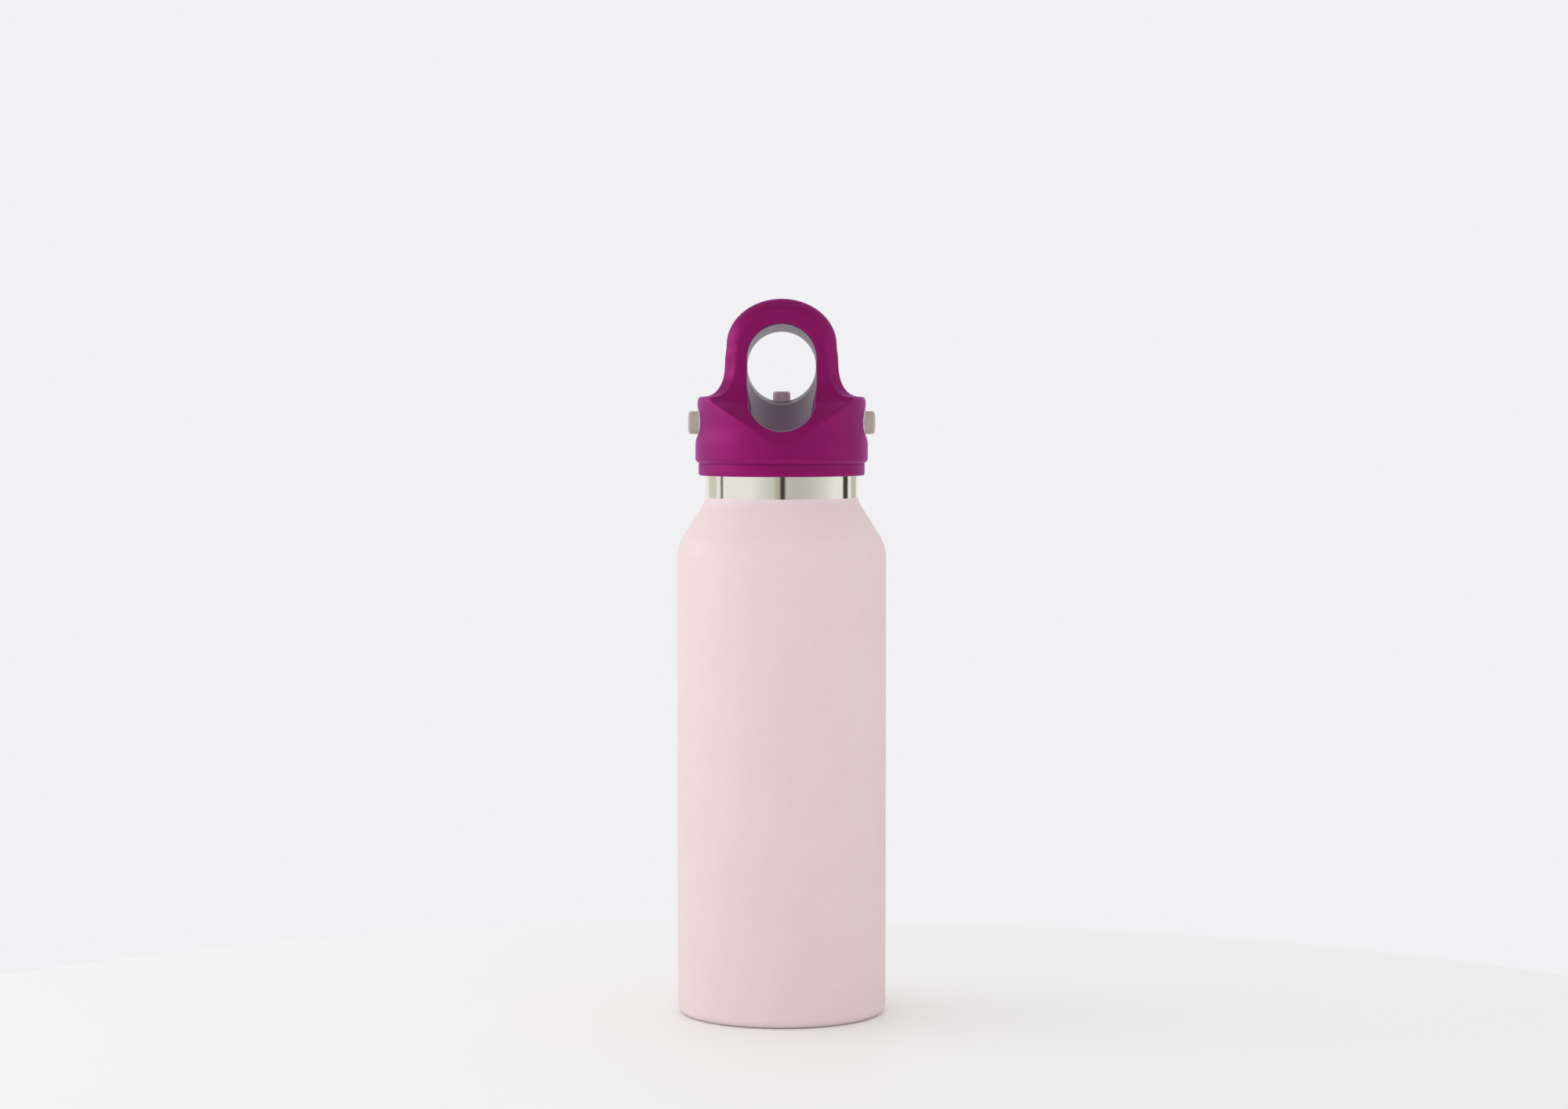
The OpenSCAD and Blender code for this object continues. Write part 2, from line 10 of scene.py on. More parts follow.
import bmesh
import bpy
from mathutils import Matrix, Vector

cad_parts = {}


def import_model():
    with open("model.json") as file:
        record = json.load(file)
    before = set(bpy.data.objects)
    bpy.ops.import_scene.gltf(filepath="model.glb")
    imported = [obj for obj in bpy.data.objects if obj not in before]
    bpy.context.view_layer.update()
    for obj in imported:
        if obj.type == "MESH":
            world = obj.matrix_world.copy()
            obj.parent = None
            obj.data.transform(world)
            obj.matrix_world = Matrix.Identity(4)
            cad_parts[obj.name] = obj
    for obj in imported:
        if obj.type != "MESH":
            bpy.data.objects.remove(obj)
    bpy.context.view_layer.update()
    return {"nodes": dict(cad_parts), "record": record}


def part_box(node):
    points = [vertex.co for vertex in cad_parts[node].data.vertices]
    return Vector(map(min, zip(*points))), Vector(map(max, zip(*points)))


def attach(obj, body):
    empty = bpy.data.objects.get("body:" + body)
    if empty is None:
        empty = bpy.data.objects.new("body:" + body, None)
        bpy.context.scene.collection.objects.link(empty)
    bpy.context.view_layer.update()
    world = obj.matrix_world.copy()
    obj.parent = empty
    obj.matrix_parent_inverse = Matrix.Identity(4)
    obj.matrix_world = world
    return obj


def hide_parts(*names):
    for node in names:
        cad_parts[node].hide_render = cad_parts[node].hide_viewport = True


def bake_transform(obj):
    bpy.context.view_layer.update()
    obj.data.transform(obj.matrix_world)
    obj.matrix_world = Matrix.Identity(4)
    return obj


LOG = logging.getLogger("bottle")

# One millimetre in metres, and the gap at which two corners count as one
MM = 0.001
MERGE = 1e-6
# A pill's ends are rounded by a little under half its height, and corners that come close are merged
PILL_END = 0.499
PILL_MERGE = 0.03 * MM
Flat = tuple[float, float]
Place = tuple[float, float, float]
Tone = tuple[int, int, int]
Piece = bpy.types.Object
Socket = bpy.types.NodeSocket


class Join(Enum):
    """How a second mesh changes the first."""

    FUSE = "UNION"
    CUT = "DIFFERENCE"
    KEEP = "INTERSECT"


class Kind(Enum):
    """Which parts of a mesh are selected."""

    EDGE = "EDGE"
    FACE = "FACE"


class Side(Enum):
    """The two sides of the lid, by the sign of X."""

    LEFT = -1
    RIGHT = 1

    @property
    def word(self) -> str:
        """The side's name as the frame spells it."""
        return self.name.lower()


def bow(middle: Flat, radii: Flat, first: float, last: float, count: int = 16) -> list[Flat]:
    """Points on part of an ellipse.

    Args:
        middle: Centre of the ellipse.
        radii: Half its width and half its height.
        first: Angle of the first point, in degrees.
        last: Angle of the last point, in degrees.
        count: Number of steps.

    Returns:
        The points, in order.
    """
    turns = [math.radians(first + (last - first) * i / count) for i in range(count + 1)]
    return [(middle[0] + radii[0] * math.cos(a), middle[1] + radii[1] * math.sin(a)) for a in turns]


def arc(middle: Flat, radius: float, first: float, last: float, count: int = 16) -> list[Flat]:
    """Points on an arc, from one angle to another in degrees."""
    return bow(middle, (radius, radius), first, last, count)


def lathe(profile: Sequence[Flat]) -> list[Place]:
    """Stand a profile of radius and height in the XZ plane."""
    return [(r, 0.0, z) for r, z in profile]


def mirrored(half: Sequence[Flat]) -> list[Flat]:
    """The other half of an outline, in the order that closes it."""
    return [(-a, b) for a, b in reversed(half)]


class Bench:
    """The workbench: how a mesh is started, shaped, joined and finished."""

    @staticmethod
    def clear() -> None:
        """Leave edit mode and select nothing."""
        if bpy.context.object and bpy.context.object.mode != "OBJECT":
            bpy.ops.object.mode_set(mode="OBJECT")
        bpy.ops.object.select_all(action="DESELECT")

    @staticmethod
    def pick(piece: Piece) -> None:
        """Make a piece the only selected object, and the active one.

        Args:
            piece: The piece to pick.
        """
        Bench.clear()
        piece.select_set(True)
        bpy.context.view_layer.objects.active = piece

    @staticmethod
    def edit(piece: Piece) -> None:
        """Open a piece in edit mode with all of its mesh selected.

        Args:
            piece: The piece to open.
        """
        Bench.pick(piece)
        bpy.ops.object.mode_set(mode="EDIT")
        bpy.ops.mesh.select_mode(type="VERT")
        bpy.ops.mesh.select_all(action="SELECT")

    @staticmethod
    def tidy() -> None:
        """Merge doubles, turn all faces outwards and leave edit mode."""
        bpy.ops.mesh.select_all(action="SELECT")
        bpy.ops.mesh.remove_doubles(threshold=MERGE)
        bpy.ops.mesh.normals_make_consistent(inside=False)
        bpy.ops.object.mode_set(mode="OBJECT")

    @staticmethod
    def fresh(name: str) -> Piece:
        """Name the object that was just added and move its place, turn and scale into its mesh.

        Args:
            name: The new name.

        Returns:
            The object.
        """
        piece = bpy.context.object
        piece.name = piece.data.name = name
        bpy.ops.object.transform_apply(location=True, rotation=True, scale=True)
        return piece

    @staticmethod
    def select(piece: Piece, kind: Kind, test: Callable[[Vector, Vector], bool]) -> None:
        """Select edges or faces of a piece in edit mode.

        Args:
            piece: The piece that is being edited.
            kind: What is selected.
            test: Picks an edge by its two ends, or a face by its middle and its normal.
        """
        bpy.ops.mesh.select_mode(type=kind.value)
        bpy.ops.mesh.select_all(action="DESELECT")
        mesh = bmesh.from_edit_mesh(piece.data)
        mesh.normal_update()
        if kind is Kind.EDGE:
            picked = [edge for edge in mesh.edges if test(edge.verts[0].co, edge.verts[1].co)]
        else:
            picked = [face for face in mesh.faces if test(face.calc_center_median(), face.normal)]
        for part in picked:
            part.select_set(True)
        bmesh.update_edit_mesh(piece.data)

    @staticmethod
    def line(name: str, points: Sequence[Place], closed: bool = False) -> Piece:
        """Start a mesh as a plane merged to one corner, then extrude that corner along points.

        Args:
            name: Name of the new object.
            points: Places that the line passes, in metres.
            closed: Whether the line runs back to its first point.

        Returns:
            The object, in edit mode.
        """
        Bench.clear()
        bpy.ops.mesh.primitive_plane_add(size=MM)
        piece = Bench.fresh(name)
        Bench.edit(piece)
        bpy.ops.mesh.merge(type="CENTER")
        bpy.ops.transform.translate(value=points[0])
        path = [Vector(p) for p in points] + ([Vector(points[0])] if closed else [])
        for near, far in zip(path, path[1:]):
            bpy.ops.mesh.extrude_region_move(TRANSFORM_OT_translate={"value": far - near})
        bpy.ops.mesh.select_all(action="SELECT")
        bpy.ops.mesh.remove_doubles(threshold=MERGE)
        return piece

    @staticmethod
    def turned(name: str, points: Sequence[Place], steps: int, closed: bool = True,
               middle: Place = (0.0, 0.0, 0.0)) -> Piece:
        """Spin a line of points once round an upright axis.

        Args:
            name: Name of the new object.
            points: The profile, in a plane through the axis.
            steps: Segments of the full turn.
            closed: Whether the profile is a closed loop. An open one starts and ends on the axis.
            middle: A point on the axis.

        Returns:
            The closed round mesh.
        """
        piece = Bench.line(name, points, closed)
        bpy.ops.mesh.spin(steps=steps, dupli=False, angle=math.tau, center=middle, axis=(0.0, 0.0, 1.0))
        Bench.tidy()
        return piece

    @staticmethod
    def prism(name: str, outline: Sequence[Place], run: Place) -> Piece:
        """Fill an outline and extrude it.

        Args:
            name: Name of the new object.
            outline: Corners of the outline, all in one plane.
            run: How far and which way it is extruded.

        Returns:
            The closed mesh.
        """
        piece = Bench.line(name, outline, closed=True)
        bpy.ops.mesh.edge_face_add()
        bpy.ops.mesh.extrude_region_move(TRANSFORM_OT_translate={"value": run})
        Bench.tidy()
        return piece

    @staticmethod
    def drum(name: str, radius: float, low: Place, high: Place, sides: int) -> Piece:
        """Add a cylinder between the middles of its two ends, as a cutter or a blank.

        Args:
            name: Name of the new object.
            radius: Radius of the cylinder.
            low: Middle of one end.
            high: Middle of the other end.
            sides: Number of sides.

        Returns:
            The cylinder, with its place in its mesh.
        """
        Bench.clear()
        run = Vector(high) - Vector(low)
        turn = run.to_track_quat("Z", "Y").to_euler()
        bpy.ops.mesh.primitive_cylinder_add(vertices=sides, radius=radius, depth=run.length,
                                            location=(Vector(low) + Vector(high)) / 2, rotation=turn)
        return Bench.fresh(name)

    @staticmethod
    def block(name: str, low: Place, high: Place) -> Piece:
        """Add a cube and size it to fill a box between two corners.

        Args:
            name: Name of the new object.
            low: Lowest corner.
            high: Highest corner.

        Returns:
            The block, with its place in its mesh.
        """
        Bench.clear()
        bpy.ops.mesh.primitive_cube_add(size=1.0, location=(Vector(low) + Vector(high)) / 2)
        bpy.context.object.scale = Vector(high) - Vector(low)
        return Bench.fresh(name)

    @staticmethod
    def pill(name: str, inner: float, outer: float, size: Flat, middle: float,
             rim: float) -> Piece:
        """Shape a block that sticks out along +X into a pill that lies along Y.

        Args:
            name: Name of the new object.
            inner: X of the inner end.
            outer: X of the outer end.
            size: Length along Y and height along Z.
            middle: Height of the middle above the table.
            rim: Rounding of the outer rim, or 0 for none.

        Returns:
            The pill.
        """
        length, height = size
        low, high = middle - height / 2, middle + height / 2
        piece = Bench.block(name, (inner, -length / 2, low), (outer, length / 2, high))
        Bench.edit(piece)
        Bench.select(piece, Kind.EDGE, lambda a, b: abs(a.x - b.x) > MERGE)
        bpy.ops.mesh.bevel(offset=PILL_END * height, segments=14, affect="EDGES")
        bpy.ops.mesh.select_all(action="SELECT")
        bpy.ops.mesh.remove_doubles(threshold=PILL_MERGE)
        if rim > 0.0:
            Bench.select(piece, Kind.EDGE, lambda a, b: min(a.x, b.x) > outer - MERGE)
            bpy.ops.mesh.bevel(offset=rim, segments=5, affect="EDGES")
        Bench.tidy()
        return piece

    @staticmethod
    def flip(piece: Piece, side: Side) -> Piece:
        """Mirror a piece made for the right over to its own side.

        Args:
            piece: A piece on the right.
            side: The side that it belongs on.

        Returns:
            The piece.
        """
        if side is Side.LEFT:
            Bench.edit(piece)
            bpy.ops.transform.resize(value=(-1.0, 1.0, 1.0), center_override=(0.0, 0.0, 0.0))
            Bench.tidy()
        return piece

    @staticmethod
    def apply(piece: Piece, kind: str, **values: object) -> None:
        """Add one modifier to a piece and apply it.

        Args:
            piece: The piece to change.
            kind: Type of the modifier.
            values: Settings of the modifier.
        """
        modifier = piece.modifiers.new(kind.lower(), kind)
        for key, value in values.items():
            setattr(modifier, key, value)
        Bench.pick(piece)
        bpy.ops.object.modifier_apply(modifier=modifier.name)

    @staticmethod
    def join(piece: Piece, how: Join, *tools: Piece) -> Piece:
        """Fuse, cut or keep a piece by other meshes, which are used up.

        Args:
            piece: The piece to change.
            how: What the tools do to it.
            tools: Closed meshes.

        Returns:
            The changed piece.
        """
        for tool in tools:
            Bench.apply(piece, "BOOLEAN", operation=how.value, solver="MANIFOLD", object=tool)
            bpy.data.objects.remove(tool, do_unlink=True)
        return piece

    @staticmethod
    def skin(piece: Piece, voxel: float, rounds: int) -> None:
        """Give a piece the even skin and the small soft edges of a moulding.

        Args:
            piece: The piece to finish.
            voxel: Grid of the new skin.
            rounds: Rounds of smoothing, which set how soft an edge gets.
        """
        Bench.apply(piece, "REMESH", mode="VOXEL", voxel_size=voxel, adaptivity=0.0)
        Bench.apply(piece, "SMOOTH", factor=0.5, iterations=rounds)

    @staticmethod
    def soften(piece: Piece, share: Callable[[Vector], float], rounds: int) -> None:
        """Smooth one region of a piece more than the rest.

        Args:
            piece: The piece to change.
            share: How much of the smoothing a place gets, from 0 to 1.
            rounds: Rounds of smoothing.
        """
        group = piece.vertex_groups.new(name="soft")
        for vertex in piece.data.vertices:
            weight = share(vertex.co)
            if weight > 0.0:
                group.add([vertex.index], min(weight, 1.0), "REPLACE")
        Bench.apply(piece, "SMOOTH", factor=0.5, iterations=rounds, vertex_group="soft")
        piece.vertex_groups.clear()

    @staticmethod
    def thin(piece: Piece, most: int) -> None:
        """Thin a mesh out to at most a number of triangles.

        Args:
            piece: The piece to change.
            most: The number of triangles.
        """
        triangles = sum(len(face.vertices) - 2 for face in piece.data.polygons)
        if triangles > most:
            Bench.apply(piece, "DECIMATE", decimate_type="COLLAPSE", ratio=most / triangles)

    @staticmethod
    def shade(piece: Piece, angle: float = 35.0) -> Piece:
        """Shade a piece smooth across edges that are flatter than an angle in degrees.

        Args:
            piece: The piece to shade.
            angle: The angle.

        Returns:
            The piece.
        """
        Bench.pick(piece)
        bpy.ops.object.shade_smooth_by_angle(angle=math.radians(angle))
        return piece


class Tree:
    """A node tree with short ways to add nodes and link them."""

    def __init__(self, tree: bpy.types.NodeTree) -> None:
        """Keep the tree.

        Args:
            tree: The node tree of a material, a world or a group.
        """
        self.tree = tree

    @classmethod
    def material(cls, name: str) -> tuple[bpy.types.Material, "Tree", bpy.types.Node]:
        """Start a material.

        Args:
            name: Name of the material.

        Returns:
            The material, its tree and its shader.
        """
        material = bpy.data.materials.new(name)
        material.use_nodes = True
        return material, cls(material.node_tree), material.node_tree.nodes["Principled BSDF"]

    def add(self, kind: str, settings: dict[str, object] | None = None, **inputs: object) -> bpy.types.Node:
        """Add a node.

        Args:
            kind: Type of the node.
            settings: Attributes of the node.
            inputs: Input sockets by name, with _ for a space. A socket is linked, and a value is set.

        Returns:
            The new node.
        """
        node = self.tree.nodes.new(kind)
        for key, value in (settings or {}).items():
            setattr(node, key, value)
        for key, value in inputs.items():
            self.put(node, key.replace("_", " "), value)
        return node

    def put(self, node: bpy.types.Node, name: str | int, value: object) -> None:
        """Link a socket to an input of a node, or set the input's value.

        Args:
            node: The node.
            name: Name or number of the input.
            value: The socket or the value.
        """
        if isinstance(value, bpy.types.NodeSocket):
            self.tree.links.new(value, node.inputs[name])
        else:
            node.inputs[name].default_value = value

    def math(self, what: str, a: object, b: object = 0.0) -> Socket:
        """Work out one operation on two values.

        Args:
            what: Name of the operation.
            a: First value or socket.
            b: Second value or socket.

        Returns:
            The socket with the result.
        """
        node = self.add("ShaderNodeMath", {"operation": what})
        self.put(node, 0, a)
        self.put(node, 1, b)
        return node.outputs[0]

    def weigh(self, a: object, part: float, b: object, other: float) -> Socket:
        """Add two values, each times its own weight."""
        return self.math("ADD", self.math("MULTIPLY", a, part), self.math("MULTIPLY", b, other))

    def spread(self, value: Socket, low: float, high: float, to_low: float = 0.0,
               to_high: float = 1.0) -> Socket:
        """Map a value from one span to another, held at the ends.

        Args:
            value: The socket to map.
            low: Start of the span it has.
            high: End of the span it has.
            to_low: What the start becomes.
            to_high: What the end becomes.

        Returns:
            The socket with the result.
        """
        node = self.add("ShaderNodeMapRange", Value=value)
        for name, number in (("From Min", low), ("From Max", high), ("To Min", to_low), ("To Max", to_high)):
            node.inputs[name].default_value = number
        return node.outputs["Result"]

    def blend(self, share: object, first: object, second: object) -> Socket:
        """Mix two colours.

        Args:
            share: How much of the second colour shows.
            first: First colour or socket.
            second: Second colour or socket.

        Returns:
            The socket with the mixed colour.
        """
        node = self.add("ShaderNodeMix", {"data_type": "RGBA"})
        self.put(node, 0, share)
        self.put(node, 6, first)
        self.put(node, 7, second)
        return node.outputs[2]


def linear(red: int, green: int, blue: int) -> tuple[float, float, float, float]:
    """A colour as a shader wants it, from the three numbers that a screen shows.

    Args:
        red: Red, from 0 to 255.
        green: Green, likewise.
        blue: Blue, likewise.

    Returns:
        Red, green, blue and full cover.
    """
    parts = [c / 255.0 for c in (red, green, blue)]
    bent = [p / 12.92 if p <= 0.04045 else ((p + 0.055) / 1.055) ** 2.4 for p in parts]
    return bent[0], bent[1], bent[2], 1.0


class Effects:
    """Node groups that several finishes share, each built once."""

    def __init__(self) -> None:
        """Build the groups."""
        self.grain = self.make_grain()
        self.handling = self.make_handling()
        self.lathe_lines = self.make_lathe_lines()

    @staticmethod
    def start(name: str, inputs: dict[str, float | None],
              outputs: Sequence[str]) -> tuple[Tree, bpy.types.Node, bpy.types.Node]:
        """Start a group with its sockets.

        Args:
            name: Name of the group.
            inputs: Number inputs with their first values. None stands for a vector.
            outputs: Number outputs.

        Returns:
            The tree, its input node and its output node.
        """
        group = bpy.data.node_groups.new(name, "ShaderNodeTree")
        for socket, value in inputs.items():
            kind = "NodeSocketVector" if value is None else "NodeSocketFloat"
            made = group.interface.new_socket(name=socket, in_out="INPUT", socket_type=kind)
            if value is not None:
                made.default_value = value
        for socket in outputs:
            group.interface.new_socket(name=socket, in_out="OUTPUT", socket_type="NodeSocketFloat")
        tree = Tree(group)
        return tree, tree.add("NodeGroupInput"), tree.add("NodeGroupOutput")

    @staticmethod
    def make_grain() -> bpy.types.NodeTree:
        """Fine pebbled skin: soft cells with smaller noise on top.

        Returns:
            The group, with a Height and a Mask.
        """
        tree, source, sink = Effects.start("fine_grain", {"Vector": None, "Scale": 900.0}, ("Height", "Mask"))
        place, scale = source.outputs["Vector"], source.outputs["Scale"]
        cells = tree.add("ShaderNodeTexVoronoi", {"feature": "SMOOTH_F1"}, Vector=place, Scale=scale)
        finer = tree.math("MULTIPLY", scale, 2.3)
        fine = tree.add("ShaderNodeTexNoise", Vector=place, Scale=finer, Detail=2.0)
        height = tree.weigh(cells.outputs["Distance"], 0.7, fine.outputs["Fac"], 0.45)
        tree.put(sink, "Height", height)
        tree.put(sink, "Mask", tree.spread(height, 0.35, 0.85))
        return tree.tree

    @staticmethod
    def make_handling() -> bpy.types.NodeTree:
        """Slow uneven sheen that hands and cloths leave on a smooth surface.

        Returns:
            The group, with a Mask.
        """
        tree, source, sink = Effects.start("handling", {"Vector": None, "Scale": 40.0}, ("Mask",))
        place, scale = source.outputs["Vector"], source.outputs["Scale"]
        broad = tree.add("ShaderNodeTexNoise", Vector=place, Scale=scale, Detail=4.0, Roughness=0.6,
                         Distortion=0.4)
        smaller = tree.math("MULTIPLY", scale, 7.0)
        small = tree.add("ShaderNodeTexNoise", Vector=place, Scale=smaller, Detail=2.0)
        both = tree.weigh(broad.outputs["Fac"], 0.75, small.outputs["Fac"], 0.25)
        tree.put(sink, "Mask", tree.spread(both, 0.35, 0.65))
        return tree.tree

    @staticmethod
    def make_lathe_lines() -> bpy.types.NodeTree:
        """Fine lines that run round a turned or drawn metal wall.

        Returns:
            The group, with a Height and a Mask.
        """
        sockets = {"Vector": None, "Density": 4000.0}
        tree, source, sink = Effects.start("lathe_lines", sockets, ("Height", "Mask"))
        parts = tree.add("ShaderNodeSeparateXYZ", Vector=source.outputs["Vector"])
        flat = tree.add("ShaderNodeCombineXYZ",
                        X=tree.math("MULTIPLY", parts.outputs["X"], 30.0),
                        Y=tree.math("MULTIPLY", parts.outputs["Y"], 30.0),
                        Z=tree.math("MULTIPLY", parts.outputs["Z"], source.outputs["Density"]))
        lines = tree.add("ShaderNodeTexNoise", Vector=flat.outputs["Vector"], Scale=1.0, Detail=3.0,
                         Roughness=0.7)
        tree.put(sink, "Height", lines.outputs["Fac"])
        tree.put(sink, "Mask", tree.spread(lines.outputs["Fac"], 0.3, 0.7))
        return tree.tree


@dataclass(frozen=True)
class Finish:
    """A surface finish, with the values that set it apart from the others."""

    slot: str
    colour: Tone
    shift: Tone
    rough: float
    rough_span: float = 0.06
    grain_scale: float = 1200.0
    grain_depth: float = 0.02
    metallic: float = 0.0
    lines: float = 0.0
    specular: float = 0.5
    sheen: float = 0.0
    sheen_tint: Tone = (255, 255, 255)
    specular_tint: Tone = (255, 255, 255)
    soft_depth: float = 0.0
    anisotropic: float = 0.0
    bump: float = 0.35
    sheen_rough: float = 0.4
    soft_reach: float = 0.6 * MM

    def make(self, effects: Effects) -> bpy.types.Material:
        """Build the material.

        Args:
            effects: The shared node groups.

        Returns:
            The material, named after its slot.
        """
        material, tree, shader = Tree.material(self.slot)
        place = tree.add("ShaderNodeTexCoord").outputs["Object"]
        patch = tree.add("ShaderNodeGroup", {"node_tree": effects.handling}, Vector=place).outputs["Mask"]
        if self.lines > 0.0:
            skin = tree.add("ShaderNodeGroup", {"node_tree": effects.lathe_lines}, Vector=place,
                            Density=self.lines)
            share = tree.weigh(patch, 0.4, skin.outputs["Mask"], 0.6)
        else:
            skin = tree.add("ShaderNodeGroup", {"node_tree": effects.grain}, Vector=place,
                            Scale=self.grain_scale)
            share = tree.weigh(patch, 0.6, skin.outputs["Mask"], 0.4)
        tree.put(shader, "Base Color", tree.blend(share, linear(*self.colour), linear(*self.shift)))
        tree.put(shader, "Roughness", tree.spread(share, 0.0, 1.0, self.rough, self.rough + self.rough_span))
        bump = tree.add("ShaderNodeBump", Strength=self.bump, Distance=self.grain_depth * MM,
                        Height=skin.outputs["Height"])
        tree.put(shader, "Normal", bump.outputs["Normal"])
        for name, value in (("Metallic", self.metallic), ("Anisotropic", self.anisotropic),
                            ("Specular IOR Level", self.specular),
                            ("Specular Tint", linear(*self.specular_tint)),
                            ("Sheen Weight", self.sheen), ("Sheen Roughness", self.sheen_rough),
                            ("Sheen Tint", linear(*self.sheen_tint)),
                            ("Subsurface Weight", self.soft_depth), ("Subsurface Scale", self.soft_reach)):
            tree.put(shader, name, value)
        return material


FINISHES: tuple[Finish, ...] = (
    Finish("powder_coat", (231, 210, 211), (226, 204, 205), 0.46, 0.10, 1500.0, 0.03),
    Finish("bare_steel", (243, 242, 230), (233, 232, 218), 0.06, 0.06, metallic=1.0, lines=5200.0,
           grain_depth=0.004, anisotropic=0.3),
    Finish("lid_plastic", (146, 7, 95), (139, 6, 90), 0.42, 0.08, 1700.0, 0.018, metallic=0.5, specular=0.85,
           sheen=0.35, sheen_tint=(235, 120, 235), specular_tint=(205, 155, 248)),
    Finish("liner", (91, 58, 88), (84, 53, 82), 0.34, 0.08, 1400.0, 0.02),
    Finish("button_plastic", (182, 172, 162), (174, 163, 154), 0.36, 0.08, 1700.0, 0.015),
    Finish("vent_plastic", (222, 195, 206), (214, 186, 198), 0.38, 0.08, 1700.0, 0.015),
    Finish("collar_plastic", (240, 236, 232), (232, 227, 223), 0.35, 0.08, 1700.0, 0.015),
    Finish("works_plastic", (222, 219, 214), (213, 210, 205), 0.40, 0.10, 1500.0, 0.02),
    Finish("silicone", (238, 236, 232), (229, 227, 222), 0.48, 0.10, 1300.0, 0.02, soft_depth=0.15),
    Finish("spring_steel", (196, 196, 192), (178, 178, 175), 0.22, 0.10, metallic=1.0, lines=3000.0,
           grain_depth=0.006),
    Finish("seal_metal", (142, 142, 138), (120, 120, 117), 0.40, 0.15, metallic=1.0, grain_depth=0.02),
)


class Paint:
    """The finishes on the shelf, and which of them each CAD node wears."""

    def __init__(self, record: dict) -> None:
        """Mix every finish and read the slot of each CAD node.

        Args:
            record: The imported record.
        """
        effects = Effects()
        self.shelf = {finish.slot: finish.make(effects) for finish in FINISHES}
        self.slot_of = {part["node"]: part["material_slot"] for part in record["subparts"]}

    def coat(self, mesh: Piece, slot: str) -> None:
        """Put one finish all over a mesh."""
        mesh.data.materials.clear()
        mesh.data.materials.append(self.shelf[slot])

    def dress(self, mesh: Piece, node: str, body: str = "") -> Piece:
        """Finish a mesh that stands for a CAD node and set it on its body.

        Args:
            mesh: The modelled mesh.
            node: The CAD node that it stands for.
            body: The body that it rides on, or nothing for a piece that bends between two.

        Returns:
            The mesh.
        """
        slot = self.slot_of[node]
        self.coat(mesh, slot)
        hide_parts(node)
        if body:
            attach(mesh, body)
        LOG.info("%s stands for %s with %d faces", mesh.name, node, len(mesh.data.polygons))
        return mesh

    def dress_rest(self, nodes: dict[str, Piece]) -> None:
        """Put the finish of its slot on every CAD node that still shows.

        Args:
            nodes: The CAD nodes by name.
        """
        for name, node in nodes.items():
            if node.hide_render:
                continue
            for place in node.material_slots:
                place.material = self.shelf[self.slot_of[name]]
            LOG.info("%s keeps its CAD mesh and wears %s", name, self.slot_of[name])


